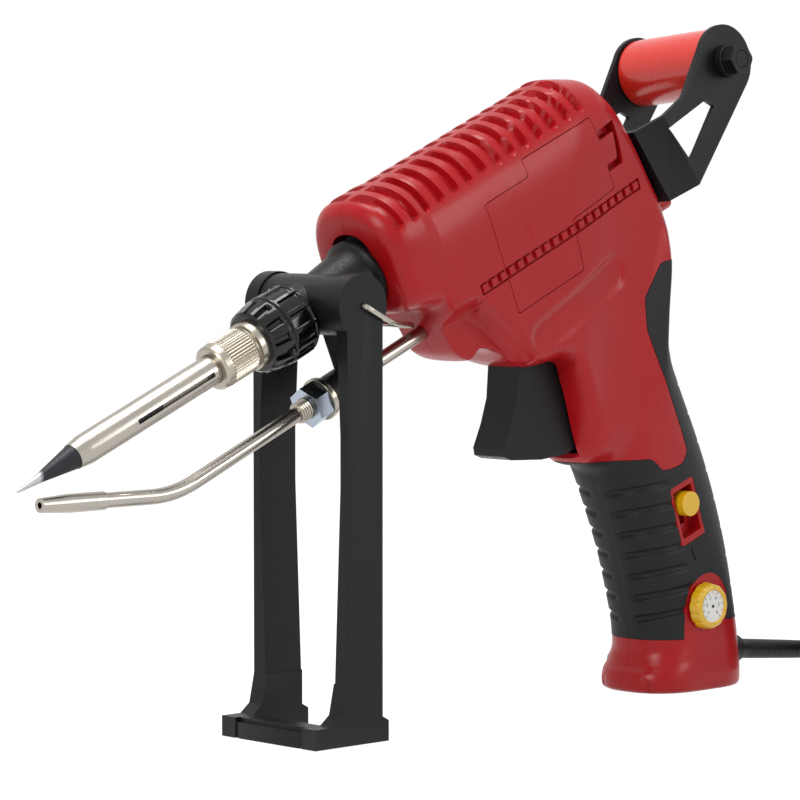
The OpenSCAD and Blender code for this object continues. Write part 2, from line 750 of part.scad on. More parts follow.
module front_boss() color([0.1, 0.1, 0.11]) stance() barrel() difference() {
    union() {
        rod_x(-nose_l, cone_start + over, 0, 0, nose_r);
        rotate([0, tilt, 0]) rod_y(0, 0, -cross_half_l, cross_half_l, cross_r);
        turned([
            [0, 0], [0, body_front + wall], [neck_r, body_front + wall], [neck_r, body_front],
            [cone_r - boss_chamfer, body_front], [cone_r, body_front - boss_chamfer],
            [cone_r, body_front - ring_t + boss_chamfer], [cone_r - boss_chamfer, body_front - ring_t],
            [cone_end_r, body_front - ring_t - boss_chamfer / 2],
            [nose_r + boss_chamfer / 2, cone_start], [nose_r, 0]]);
        rod_x(body_front + wall + fit_gap, body_front + wall + neck_flange_t, 0, 0, neck_flange_r);
        rod_x(body_front, body_front + wall + over, 0, 0, neck_r);
        block([arm_front, -arm_half_t, -feed_drop], [arm_rear, arm_half_t, -nose_r / 2]);
        rod_x(-eye_front, eye_rear, 0, -feed_drop, eye_r);
    }
    rod_x(-nose_l - over, spigot_l - nose_l + fit_gap, 0, 0, spigot_r + fit_gap);
    rod_x(-nose_l, body_front + 2 * neck_flange_t + wall, 0, 0, nose_bore_r);
    rod_x(-eye_front - over, eye_rear + over, 0, -feed_drop, bush_r + fit_gap);
    rod_x(eye_rear, arm_rear + over, 0, -feed_drop, guide_r + move_gap);
    for (side = [-1, 1]) scale([1, side, 1])
        rod_y(0, 0, cross_half_l - pivot_spigot_l, cross_half_l + over, pivot_spigot_r + fit_gap);
}

module collar() color([0.05, 0.05, 0.055]) stance() barrel() {
    front = -nose_l - fit_gap - collar_l;
    turned([
        [nipple_bore_r, front - nipple_l], [nipple_r, front - nipple_l], [nipple_r, front],
        [0.86 * collar_r, front], [0.93 * collar_r, front + 0.06 * collar_l],
        [collar_r, front + 0.25 * collar_l], [collar_r, front + 0.78 * collar_l],
        [0.94 * collar_r, front + 0.93 * collar_l], [0.88 * collar_r, -nose_l - fit_gap],
        [spigot_r, -nose_l - fit_gap], [spigot_r, spigot_l - nose_l], [nipple_bore_r, spigot_l - nose_l]]);
}

module knurled_nut() color("silver") stance() barrel() difference() {
    turned([
        [sleeve_r + fit_gap, nut_front], [knurl_r - boss_chamfer, nut_front],
        [knurl_r, nut_front + boss_chamfer],
        [knurl_r, nut_front + knurl_l - boss_chamfer], [knurl_r - knurl_depth, nut_front + knurl_l],
        [knurl_r - knurl_depth, nut_rear - boss_wall], [knurl_r + knurl_depth, nut_rear - boss_wall],
        [knurl_r + knurl_depth, nut_rear], [nipple_r + fit_gap, nut_rear],
        [nipple_r + fit_gap, nut_front + wall], [sleeve_r + fit_gap, nut_front + wall]]);
    for (i = [0 : knurl_grooves - 1]) rotate([360 * i / knurl_grooves, 0, 0])
        translate([nut_front + 2 * boss_chamfer, 0, knurl_r]) rotate([45, 0, 0])
            block([0, -0.7 * knurl_depth, -0.7 * knurl_depth],
                [knurl_l - 4 * boss_chamfer, 0.7 * knurl_depth, 0.7 * knurl_depth]);
}

module heater_sleeve() color("lightgray") stance() barrel() difference() {
    turned([
        [tip_r + fit_gap, mouth_u], [sleeve_r - sleeve_wall, mouth_u], [sleeve_r, mouth_u + sleeve_r],
        [sleeve_r, flange_u], [sleeve_flange_r, flange_u], [sleeve_flange_r, flange_u + sleeve_flange_l],
        [core_r + move_gap, flange_u + sleeve_flange_l], [core_r + move_gap, flange_u + sleeve_wall],
        [sleeve_r - sleeve_wall, flange_u + sleeve_wall], [sleeve_r - sleeve_wall, mouth_u + sleeve_r],
        [tip_r + fit_gap, mouth_u + sleeve_wall]]);
    for (side = [-1, 1]) block(
        [nut_front - sleeve_slot_l, side * sleeve_r - sleeve_wall * 2, -sleeve_slot_w / 2],
        [nut_front - wall, side * sleeve_r + sleeve_wall * 2, sleeve_slot_w / 2]);
}

module soldering_tip() color("slategray") stance() barrel() turned([
    [0, -tip_reach], [tip_end_r, -tip_reach], [tip_end_r + 0.28 * tip_r, -tip_reach + 0.4 * tip_cone_l],
    [tip_r, -tip_reach + tip_cone_l], [tip_r, -tip_reach + tip_cone_l + shank_l],
    [shank_bore_r, -tip_reach + tip_cone_l + shank_l], [shank_bore_r, -tip_reach + tip_cone_l + tip_r],
    [0, -tip_reach + tip_cone_l]]);

module heater_core() color("ivory") stance() barrel() {
    rod_x(-tip_reach + tip_cone_l + tip_r + move_gap, -nose_l, 0, 0, core_r);
    rod_x(-nose_l - collar_l, -nose_l, 0, 0, nipple_bore_r - fit_gap);
}

module outlet_frame() translate([-bend_start - bend_r * sin(tilt), 0, bend_r * (1 - cos(tilt)) - feed_drop])
    rotate([0, tilt - 90, 0]) children();
module guide_ring() difference() {
    circle(guide_r);
    circle(solder_r);
}
module guide_tube() color("silver") stance() barrel() {
    translate([-bend_start, 0, -feed_drop]) rotate([0, 90, 0])
        linear_extrude(guide_rear + bend_start) guide_ring();
    translate([-bend_start, 0, bend_r - feed_drop]) rotate([90, 0, 0]) rotate([0, 0, -90 - tilt])
        rotate_extrude(angle = tilt) translate([bend_r, 0]) guide_ring();
    outlet_frame() linear_extrude(nozzle_start + nozzle_cup_l) guide_ring();
}
module guide_nozzle() color("gainsboro") stance() barrel() outlet_frame() translate([0, 0, nozzle_start])
    rotate_extrude() polygon([
        [guide_r + fit_gap, 0], [nozzle_r, 0], [nozzle_r, nozzle_body_l],
        [nozzle_tip_r, nozzle_body_l + nozzle_taper_l], [solder_r, nozzle_body_l + nozzle_taper_l],
        [solder_r, nozzle_cup_l + fit_gap], [guide_r + fit_gap, nozzle_cup_l + fit_gap]]);
module guide_bush() color("silver") stance() barrel() difference() {
    rod_x(-bush_front, bush_rear, 0, -feed_drop, bush_r);
    rod_x(-bush_front - over, bush_rear + over, 0, -feed_drop, guide_r + fit_gap);
}
module guide_nut() color("lightsteelblue") stance() barrel()
    hex_nut([-eye_front - fit_gap - washer_t - nut_t, 0, -feed_drop], nut_flats, nut_t, bush_r + fit_gap);
module hex_nut(at, flats, t, bore) translate(at) rotate([0, 90, 0]) difference() {
    intersection() {
        cylinder(d = flats / cos(30), h = t, $fn = 6);
        translate([0, 0, -flats / 2 + t]) cylinder(r1 = flats, r2 = flats * 0.54, h = flats / 2);
    }
    translate([0, 0, -over]) cylinder(r = bore, h = t + 2 * over);
}
module lock_washer() color("silver") stance() barrel() difference() {
    rod_x(-eye_front - fit_gap - washer_t, -eye_front - fit_gap, 0, -feed_drop, washer_r);
    rod_x(-bush_front, 0, 0, -feed_drop, bush_r + fit_gap);
}

module stand() color([0.1, 0.1, 0.11]) stance() difference() {
    union() {
        for (side = [-1, 1]) scale([1, side, 1]) {
            rod_y(0, pivot_h, stand_w / 2 - boss_t, stand_w / 2, boss_r);
            rod_y(0, pivot_h, cross_half_l - pivot_spigot_l + move_gap, stand_w / 2 - over, pivot_spigot_r);
            along(-leg_front, leg_w - leg_front) polygon([
                [stand_w / 2 - leg_root_t, pivot_h], [stand_w / 2 - leg_waist, waist_z + foot_bar],
                [stand_w / 2 - leg_waist, waist_z - foot_bar], [stand_w / 2 - foot_side, foot_h],
                [stand_w / 2 - foot_side, foot_h / 2], [stand_w / 2, foot_h / 2], [stand_w / 2, pivot_h]]);
            across(stand_w / 2 - foot_side, stand_w / 2) polygon([
                [-foot_front, 0], [foot_l - foot_front, 0], [foot_l - foot_front, foot_h],
                [leg_w - leg_front, foot_h + foot_step], [leg_w - leg_front, leg_flare_z],
                [-leg_front, leg_flare_z], [-leg_front - 0.25 * foot_bar, leg_flare_z / 2],
                [-leg_front - 0.7 * foot_bar, foot_h], [-foot_front, foot_h]]);
        }
        linear_extrude(foot_h - foot_step) polygon(foot_bar_outline(0));
        linear_extrude(foot_h) polygon(foot_bar_outline(foot_step));
    }
    for (side = [-1, 1]) scale([1, side, 1])
        rod_y(0, pivot_h, cross_half_l - pivot_spigot_l, stand_w, wire_d / 2 + fit_gap);
}
function foot_bar_outline(d) = [
    [-foot_front + d, -0.3 * stand_w], [-foot_front + 0.2 * foot_bar + d, -0.45 * stand_w + d / 2],
    [-leg_front, -stand_w / 2 + d], [foot_bar - leg_front, -stand_w / 2 + d],
    [foot_bar - leg_front, foot_side - stand_w / 2], [foot_bar - foot_front, foot_side - stand_w / 2],
    [foot_bar - foot_front, stand_w / 2 - foot_side], [foot_bar - leg_front, stand_w / 2 - foot_side],
    [foot_bar - leg_front, stand_w / 2 - d], [-leg_front, stand_w / 2 - d],
    [-foot_front + 0.2 * foot_bar + d, 0.45 * stand_w - d / 2], [-foot_front + d, 0.3 * stand_w]];

wire_half = [
    [0, 0.395, 0], [0, 0.53, 0], [0.08, 0.532, -0.045], [0.24, 0.52, -0.115], [0.46, 0.4, -0.145],
    [0.68, 0.25, -0.155], [0.87, 0.11, -0.17]];
module stand_wire() color("silver") stance() rings_solid(tube_rings(
    concat(wire_points(1), [[0.94 * stand_w, 0, pivot_h - 0.18 * stand_w]], wire_points_back()),
    wire_d / 2, 8, [0, 0, 1]));
function wire_points(side) = [for (s = wire_half)
    [s[0] * stand_w, side * s[1] * stand_w, pivot_h + s[2] * stand_w]];
function wire_points_back() = let (p = wire_points(-1)) [for (i = [len(p) - 1 : -1 : 0]) p[i]];

// Gear outline between two tooth counts, its first tooth's middle on the given angle
function tooth(n, m, mid) = let (a = 360 / n) [
    [m * (n / 2 - 1.1), mid - 0.29 * a], [m * (n / 2 + 0.8), mid - 0.1 * a],
    [m * (n / 2 + 0.8), mid + 0.1 * a], [m * (n / 2 - 1.1), mid + 0.29 * a]];
function gear_points(n, m, first, last, start) = [for (i = [first : last]) each
    [for (q = tooth(n, m, start + 360 * i / n)) q[0] * [cos(q[1]), sin(q[1])]]];
mesh_turn = atan2(drive_at[1] - trigger_b[1], drive_at[0] - trigger_b[0]);

module trigger() color([0.12, 0.12, 0.13]) stance() difference() {
    union() {
        across(-trigger_w / 2, trigger_w / 2) polygon(trigger_pts(trigger_shares));
        barrel() translate([trigger_b[0], 0, trigger_b[1]]) across(sector_y, sector_y + sector_t)
            polygon(concat([[0, 0]],
                gear_points(sector_teeth, tooth_m, -2 - ceil(trigger_travel * sector_teeth / 360), 2,
                    mesh_turn + 180 / sector_teeth)));
    }
    rod_y(trigger_at[0], trigger_at[1], -trigger_w, trigger_w, trigger_pin_r + fit_gap);
}
module trigger_pin() color("silver") stance() barrel()
    rod_y(trigger_b[0], trigger_b[1], -pin_end, pin_end, trigger_pin_r);

// Compression spring standing on its lower end, closed by its straight first and last turns
function coil_points(r, l, turns, per) = [for (i = [0 : turns * per])
    [r * cos(360 * i / per), r * sin(360 * i / per), l * i / (turns * per)]];
module spring(r, l, turns, wire) translate([0, 0, wire / 2])
    rings_solid(tube_rings(coil_points(r, l - wire, turns, 8), wire / 2, 6, [0, 0, 1]));
module trigger_spring() color("silver") stance() translate([spring_x, spring_y, spring_low_z + fit_gap])
    spring(spring_r - spring_wire / 2, spring_l - 2 * fit_gap, spring_turns, spring_wire);

module feed_frame() color("silver") stance() {
    barrel() translate([drive_at[0], 0, drive_at[1]]) difference() {
        union() {
            for (side = [-1, 1]) scale([1, side, 1]) across(plate_y, plate_y + plate_t) polygon([
                [-plate_front, plate_high], [-plate_front, -0.05 * plate_low],
                [-0.86 * plate_front, -0.32 * plate_low], [-0.5 * plate_front, -0.76 * plate_low],
                [-0.4 * plate_front, -plate_low], [0.87 * plate_rear, -plate_low],
                [plate_rear, -0.76 * plate_low], [plate_rear, plate_high]]);
            for (at = pillar_places) rod_y(at[0], at[1], -plate_y - over / 2, plate_y + over / 2, pillar_r);
            rod_y(arm_l, pinch_at[1] - arm_fall - drive_at[1], -plate_y - over / 2, plate_y + over / 2,
                axle_pin_r);
        }
        rod_y(0, 0, -2 * plate_y, 2 * plate_y, drive_axle_r + fit_gap);
        for (at = pillar_places) rod_y(at[0], at[1], -2 * plate_y, 2 * plate_y, frame_screw_r + fit_gap);
    }
    block([tail_seat[0] - seat_w / 2, -plate_y - plate_t / 2, tail_seat[1] + pinch_spring_l],
        [tail_seat[0] + seat_w / 2, -arm_y + arm_t, tail_seat[1] + pinch_spring_l + plate_t]);
    block([in_stance(drive_at + [plate_rear, 0])[0] - pad_t, -plate_y - plate_t / 2,
            tail_seat[1] + pinch_spring_l - pad_t],
        [tail_seat[0] + seat_w / 2 - over / 2, -plate_y + move_gap,
            tail_seat[1] + pinch_spring_l + plate_t / 2]);
}
module frame_screws() color("silver") stance() barrel() for (at = pillar_places) {
    rod_y(drive_at[0] + at[0], drive_at[1] + at[1], -plate_y - plate_t - over / 2, frame_screw_end,
        frame_screw_r);
    rod_y(drive_at[0] + at[0], drive_at[1] + at[1], -plate_y - plate_t - frame_screw_head_t,
        -plate_y - plate_t, frame_screw_head_r);
}
module drive_axle() color("gainsboro") stance() barrel()
    rod_y(drive_at[0], drive_at[1], -plate_y - plate_t - over, plate_y + plate_t + over, drive_axle_r);
module drive_wheel() color("goldenrod") stance() barrel() translate([drive_at[0], 0, drive_at[1]])
    difference() {
        union() {
            rod_y(0, 0, -wheel_w / 2, wheel_w / 2, drive_r);
            rod_y(0, 0, -plate_y + move_gap, plate_y - move_gap, 0.45 * drive_r);
            across(sector_y, sector_y + sector_t)
                polygon(gear_points(pinion_teeth, tooth_m, 0, pinion_teeth - 1, mesh_turn + 180));
        }
        rod_y(0, 0, -plate_y, plate_y, drive_axle_r + fit_gap);
    }

tail_seat = in_stance(arm_at + [arm_tail, arm_h / 2]) + [0, pad_t];
module pinch_arm() color("gray") stance() difference() {
    union() {
        barrel() {
            across(-arm_y - arm_t, -arm_y) polygon([
                pinch_at + [-arm_h / 2, -arm_h / 2], arm_at + [0, -arm_h / 2],
                arm_at + [arm_tail, -arm_h / 4], arm_at + [arm_tail, arm_h / 2],
                arm_at + [0, arm_h / 2], pinch_at + [-arm_h / 2, arm_h / 2]]);
            rod_y(arm_at[0], arm_at[1], -arm_y - arm_t, -arm_y, 0.75 * arm_h);
            rod_y(pinch_at[0], pinch_at[1], -arm_y - over, wheel_w / 2, axle_pin_r);
        }
        block([tail_seat[0] - seat_w / 2, -arm_y - arm_t - pad_t / 2, tail_seat[1] - 1.5 * pad_t],
            [tail_seat[0] + seat_w / 2, -arm_y + pad_t / 2, tail_seat[1]]);
    }
    barrel() rod_y(arm_at[0], arm_at[1], -plate_y, 0, axle_pin_r + fit_gap);
}
module pinch_wheel() color("gray") stance() barrel() difference() {
    rod_y(pinch_at[0], pinch_at[1], -wheel_w / 2, wheel_w / 2, pinch_r);
    rod_y(pinch_at[0], pinch_at[1], -wheel_w, wheel_w, axle_pin_r + fit_gap);
}
module pinch_spring() color("silver") stance()
    translate([tail_seat[0], -arm_y - arm_t / 2, tail_seat[1] + fit_gap])
    spring(0.85 * spring_r - spring_wire / 2, pinch_spring_l - 2 * fit_gap, 4, spring_wire);

nip_rear = drive_u + drive_r + pillar_r / 2;
inlet_u = body_front + 0.995 * body_l;
module solder_liner() color("white") stance() barrel() {
    difference() {
        union() {
            rod_x(nip_rear, nip_rear + liner_stop, 0, -feed_drop, liner_r);
            hull() {
                rod_x(nip_rear + liner_stop - fit_gap, nip_rear + liner_stop, 0, -feed_drop, liner_r,
                    $fn = 24);
                rod_x(inlet_u - 2 * liner_stop, inlet_u - 2 * liner_stop + fit_gap, 0, -inlet_drop, liner_r,
                    $fn = 24);
            }
            rod_x(inlet_u - 2 * liner_stop, inlet_u, 0, -inlet_drop, liner_r);
        }
        rod_x(nip_rear - over, nip_rear + liner_stop / 2, 0, -feed_drop, liner_bore_r);
        rod_x(inlet_u - liner_stop, inlet_u + over, 0, -inlet_drop, liner_bore_r);
    }
}
module solder_inlet() color("firebrick") stance() barrel() difference() {
    union() {
        rod_x(inlet_u - liner_stop, inlet_u + inlet_proud + wall, 0, -inlet_drop, inlet_r);
        rod_x(inlet_u - liner_stop, inlet_u - liner_stop + wall / 2, 0, -inlet_drop, 1.3 * inlet_r);
    }
    rod_x(inlet_u - liner_stop - over, inlet_u + fit_gap, 0, -inlet_drop, liner_r + fit_gap);
    rod_x(inlet_u, inlet_u + 2 * inlet_proud, 0, -inlet_drop, liner_bore_r);
}

module circuit_board() color("darkgreen") stance() board_frame() {
    block([-board_w / 2, board_y, -board_l / 2], [board_w / 2, board_y + board_t, board_l / 2]);
    for (z = [0, 0.18, 0.36]) block([board_w * -0.4, board_y - pot_l / 2, z * board_l - board_w / 9],
        [board_w * -0.15, board_y, z * board_l + board_w / 9]);
}
module dial_pot() color("darkslategray") stance() difference() {
    union() {
        rod_y(dial_at[0], dial_at[1], board_y - fit_gap - pot_l - wall, board_y - fit_gap, pot_r);
        rod_y(dial_at[0], dial_at[1], board_y - fit_gap - pot_l - 2 * wall, board_y, dial_stem_r + wall / 2);
    }
    rod_y(dial_at[0], dial_at[1], -grip_half_w, board_y - pot_l / 2, dial_stem_r + fit_gap);
    rod_y(dial_at[0], dial_at[1], board_y - fit_gap, board_y + over, pot_r);
}
module temperature_dial() color("gold") stance() {
    rod_y(dial_at[0], dial_at[1], -dial_base_y - fit_gap, board_y - pot_l / 2 - wall, dial_stem_r);
    difference() {
        across(-dial_base_y - dial_proud, -dial_base_y) translate(dial_at) union() {
            circle(0.93 * dial_r);
            for (i = [0 : dial_lobes - 1]) rotate([0, 0, 360 * i / dial_lobes])
                translate([0.86 * dial_r, 0]) circle(0.14 * dial_r, $fn = 24);
        }
        rod_y(dial_at[0], dial_at[1], -dial_base_y - dial_proud - over, -dial_base_y - dial_proud + move_gap,
            0.68 * dial_r);
    }
}
module power_switch() color("gold") stance() mirror([0, 1, 0]) difference() {
    union() {
        across(switch_seat, grip_half_w + move_gap) bar(switch_at, switch_plate_w - 2 * fit_gap,
            switch_plate_l - 2 * fit_gap, switch_turn);
        across(switch_seat - rubber_t - switch_d, switch_seat + fit_gap)
            bar(switch_at, switch_w - 2 * fit_gap, switch_l - 2 * fit_gap, switch_turn);
    }
    across(switch_seat - rubber_t, 2 * grip_half_w) bar(switch_at, slot_w, slot_l, switch_turn);
    across(switch_seat - rubber_t - switch_d / 2, switch_seat)
        bar(switch_at, stem_w + 2 * move_gap, stem_w + button_travel + 2 * move_gap, switch_turn);
}
switch_up = [-sin(switch_turn), cos(switch_turn)];
button_at = switch_at + button_travel / 2 * switch_up;
module power_button() color("yellow") stance() mirror([0, 1, 0]) {
    rod_y(button_at[0], button_at[1], switch_seat - rubber_t + move_gap,
        grip_half_w + move_gap + button_proud, button_r);
    across(switch_seat - rubber_t - switch_d / 2 + move_gap, switch_seat)
        bar(button_at, stem_w, stem_w, switch_turn);
}

// Bracket's outline from above, its cheek from the side and the axle between the cheeks
axle_at = [axle_reach, axle_up];
bracket_plan = [
    [0, -web_half_w], [splay_l, -bracket_w / 2], [axle_reach + cheek_r + over, -bracket_w / 2],
    [axle_reach + cheek_r + over, bracket_t - bracket_w / 2],
    [splay_l + bracket_t / 3, bracket_t - bracket_w / 2],
    [bracket_t, bracket_t / 2 - web_half_w], [bracket_t, web_half_w - bracket_t / 2],
    [splay_l + bracket_t / 3, bracket_w / 2 - bracket_t],
    [axle_reach + cheek_r + over, bracket_w / 2 - bracket_t],
    [axle_reach + cheek_r + over, bracket_w / 2], [splay_l, bracket_w / 2], [0, web_half_w]];
cheek_fall = [0.32 * cheek_r, -0.95 * cheek_r];
module spool_bracket() color([0.1, 0.1, 0.11]) stance() barrel() bracket_frame() difference() {
    intersection() {
        translate([0, 0, -2 * web_down]) linear_extrude(4 * web_down) polygon(bracket_plan);
        across(-bracket_w, bracket_w) union() {
            polygon(concat(
                [[0, web_up], [0, -web_down], [splay_l, -web_down], axle_at + cheek_fall, axle_at],
                [[cheek_top_l, web_up]]));
            translate(axle_at) circle(cheek_r);
            polygon([[cheek_top_l - cheek_r, web_up], axle_at, axle_at + [-0.55, 0.835] * cheek_r]);
        }
    }
    across(-bracket_w, bracket_w) polygon([for (s = window_shares) [s[0] * axle_reach, s[1] * axle_reach]]);
    rod_y(axle_at[0], axle_at[1], -bracket_w, bracket_w, axle_r + fit_gap);
    rod_x(-over, bracket_t + over, 0, 0, bracket_screw_r + fit_gap);
}
module bracket_screw() color("silver") stance() barrel() bracket_frame() difference() {
    union() {
        rod_x(-bracket_screw_l, bracket_t + over, 0, 0, bracket_screw_r);
        turned([[0, bracket_t], [bracket_screw_head_r, bracket_t],
            [bracket_screw_head_r, bracket_t + 0.5 * bracket_screw_head_t],
            [0.7 * bracket_screw_head_r, bracket_t + bracket_screw_head_t],
            [0, bracket_t + bracket_screw_head_t]]);
    }
    for (turn = [0, 90]) translate([bracket_t + bracket_screw_head_t, 0, 0]) rotate([turn, 0, 0])
        cube([bracket_screw_head_t, bracket_screw_r / 3, 2 * bracket_screw_r], center = true);
}
module spool_roller() color("orangered") stance() barrel() bracket_frame() difference() {
    rod_y(axle_at[0], axle_at[1], -roller_l / 2, roller_l / 2, roller_r);
    rod_y(axle_at[0], axle_at[1], -bracket_w, bracket_w, roller_bore_r);
    for (side = [-1, 1]) scale([1, side, 1]) difference() {
        rod_y(axle_at[0], axle_at[1], roller_l / 2 - roller_dish, roller_l, roller_r - wall);
        rod_y(axle_at[0], axle_at[1], 0, bracket_w, roller_bore_r + wall);
    }
}
bolt_end = bracket_w / 2 + spacer_t + fit_gap + axle_nut_t;
module axle_bolt() color("silver") stance() barrel() bracket_frame() {
    rod_y(axle_at[0], axle_at[1], -bolt_end, bolt_end - axle_nut_t, axle_r);
    rod_y(axle_at[0], axle_at[1], bolt_end - axle_nut_t, bolt_end, spacer_r);
}
module axle_nut() color("lightsteelblue") stance() barrel() bracket_frame()
    translate([axle_at[0], -bolt_end + axle_nut_t, axle_at[1]]) rotate([0, 0, -90])
        hex_nut([0, 0, 0], axle_nut_flats, axle_nut_t, axle_r + fit_gap);
module axle_spacers() color("silver") stance() barrel() bracket_frame() for (side = [-1, 1])
    scale([1, side, 1]) difference() {
        rod_y(axle_at[0], axle_at[1], bracket_w / 2 + fit_gap / 2, bracket_w / 2 + fit_gap / 2 + spacer_t,
            spacer_r);
        rod_y(axle_at[0], axle_at[1], 0, bracket_w, axle_r + fit_gap);
    }

module strain_relief() color([0.06, 0.06, 0.06]) stance() relief_frame() turned([
    [0, -clamp_end], [relief_r, -clamp_end], [relief_r, 0], [relief_flange_r, 0],
    [relief_flange_r, relief_flange_l], [relief_r, relief_flange_l + relief_cone_l],
    [relief_end_r, relief_l], [0, relief_l]]);
module cord_clamp() color("gray") stance() relief_frame() difference() {
    block([-clamp_end - wall, -clamp_w / 2, -relief_r - wall],
        [2 * wall - clamp_end, clamp_w / 2, relief_r + wall]);
    rod_x(-2 * clamp_end, over, 0, 0, relief_r + fit_gap);
}

// Leads inside the tool, and the cord outside it: round numbers chosen by hand, from the hinge
lead_points = [
    [148.4, 0, 10.5], [144, 2, 12], [139, 5, 17], [134, 6.5, 26], [131, 6.5, 36], [127, 6.5, 48],
    [125, 6.5, 56], [123, 6.5, 64], [121, 7, 74], [119, 7, 84], [115, 8, 96], [111, 9, 106],
    [105, 10, 116], [99, 10.5, 124], [94, 10.5, 134], [86, 10.5, 143], [74, 10.5, 143.5],
    [58, 10, 137.5], [44, 9, 131.5], [36, 7, 129], [28, 4, 127], [18, 1, 123], [6, 0, 117.5],
    [-6, 0, 112.2]];
run_points = [[212.4, 0, 4.1], [216, 0, 3.7], [220.4, 0, 3.3]];
coil_x = 230;

// Coil: spirals in and out again, and climbs a layer in the half turn where it reverses
coil_at = [coil_x, -coil_out_r];
function coil_radius(t) = let (n = coil_layer_turns)
    coil_out_r - coil_pitch * (n - abs(n - t + 2 * n * floor(t / (2 * n))));
function coil_rise(t, k) = (1 - cos(180 * min(1, max(0, 2 * (t - k * coil_layer_turns) + 0.5)))) / 2;
function coil_climb(t) = coil_pitch * [for (k = [1 : coil_layers - 1]) coil_rise(t, k)]
    * [for (k = [1 : coil_layers - 1]) 1];
function coil_point(t) = let (a = 90 - 360 * t) [
    coil_at[0] + coil_radius(t) * cos(a), coil_at[1] + coil_radius(t) * sin(a),
    coil_low + coil_climb(t)];
coil_steps = 24 * coil_total;
coil_line = concat([coil_point(0) - [cord_d, 0, 0]], [for (i = [0 : coil_steps]) coil_point(i / 24)],
    [coil_point(coil_total) - [cord_d, 0, 0]]);
coil_gap_least = min([for (i = [0 : coil_steps - 12]) for (j = [i + 12 : coil_steps])
    norm(coil_point(i / 24) - coil_point(j / 24))]) - cord_d;
echo(coil_gap_least = coil_gap_least);
// The plug lies on the coil, and the tail turns back to it in a half circle that climbs
plug_x = coil_x - plug_l / 2;
plug_y = coil_at[1] + coil_out_r / 7;
plug_low = coil_high + cord_d / 2 + fit_gap;
tail_r = plug_y / 2 + coil_out_r;
tail_points = [for (i = [0 : 12]) [
    plug_x - cord_d - tail_r * sin(15 * i), plug_y - tail_r - tail_r * cos(15 * i),
    coil_high + (plug_low + plug_h / 2 - coil_high) * i / 12]];
relief_end_at = [tail_x + relief_l * cos(relief_droop), 0, relief_z - relief_l * sin(relief_droop)];
run_line = concat([relief_end_at], run_points, [coil_line[0]]);
tail_line = concat([coil_line[len(coil_line) - 1]], tail_points,
    [[plug_x, plug_y, plug_low + plug_h / 2]]);
module inner_leads() color("dimgray") stance()
    rings_solid(tube_rings(lead_points, wall / 2, 8, [0, 1, 0.1]));
module cord_run() color([0.06, 0.06, 0.06]) stance()
    rings_solid(tube_rings(run_line, cord_d / 2, 8, [0, 0, 1]));
module cord_coil() color([0.06, 0.06, 0.06]) stance()
    rings_solid(tube_rings(coil_line, cord_d / 2, 6, [0, 0, 1]));
module cord_tail() color([0.06, 0.06, 0.06]) stance()
    rings_solid(tube_rings(tail_line, cord_d / 2, 8, [0, 0, 1]));
module cord_tie() color([0.06, 0.06, 0.06]) stance() {
    outer = coil_out_r + cord_d / 2 + tie_slack;
    inner = 2 * coil_r - coil_out_r - cord_d / 2 - tie_slack;
    translate([coil_at[0], coil_at[1], 0]) rotate(-90) difference() {
        block([-outer - tie_t, -tie_w / 2, 0],
            [tie_t - inner, tie_w / 2, coil_high + cord_d / 2 + 2 * tie_t]);
        block([-outer, -tie_w, tie_t], [-inner, tie_w, coil_high + cord_d / 2 + tie_t]);
    }
}
module plug_body() color([0.06, 0.06, 0.06]) stance() translate([plug_x, plug_y, plug_low]) rotate(180)
intersection() {
    linear_extrude(plug_h) polygon([
        [0, -cord_d], [0, cord_d], [-0.3 * plug_l, 0.36 * plug_w], [-0.72 * plug_l, 0.4 * plug_w],
        [-0.8 * plug_l, plug_w / 2], [-plug_l, plug_w / 2], [-plug_l, -plug_w / 2],
        [-0.8 * plug_l, -plug_w / 2], [-0.72 * plug_l, -0.4 * plug_w], [-0.3 * plug_l, -0.36 * plug_w]]);
    across(-plug_w, plug_w) polygon([
        [0, 0.2 * plug_h], [0, 0.8 * plug_h], [-0.3 * plug_l, 0.92 * plug_h],
        [-0.75 * plug_l, 0.92 * plug_h], [-0.82 * plug_l, plug_h], [-plug_l, plug_h], [-plug_l, 0],
        [-0.82 * plug_l, 0],
        [-0.75 * plug_l, 0.08 * plug_h], [-0.3 * plug_l, 0.08 * plug_h]]);
}
module plug_pins() color("silver") stance()
    translate([plug_x + plug_l, plug_y, plug_low + plug_h / 2]) rotate(180)
    for (side = [-1, 1]) block([-blade_l, side * blade_gap / 2 - blade_t / 2, -blade_w / 2],
        [-fit_gap / 5, side * blade_gap / 2 + blade_t / 2, blade_w / 2]);

left_shell();
right_shell();
left_grip_rubber();
right_grip_rubber();
feed_cover();
housing_screws();
front_boss();
collar();
knurled_nut();
heater_sleeve();
soldering_tip();
heater_core();
guide_tube();
guide_nozzle();
guide_bush();
guide_nut();
lock_washer();
stand();
stand_wire();
trigger();
trigger_pin();
trigger_spring();
feed_frame();
frame_screws();
drive_axle();
drive_wheel();
pinch_arm();
pinch_wheel();
pinch_spring();
solder_liner();
solder_inlet();
circuit_board();
dial_pot();
temperature_dial();
power_switch();
power_button();
spool_bracket();
bracket_screw();
spool_roller();
axle_bolt();
axle_nut();
axle_spacers();
strain_relief();
cord_clamp();
inner_leads();
cord_run();
cord_coil();
cord_tail();
cord_tie();
plug_body();
plug_pins();
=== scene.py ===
import math

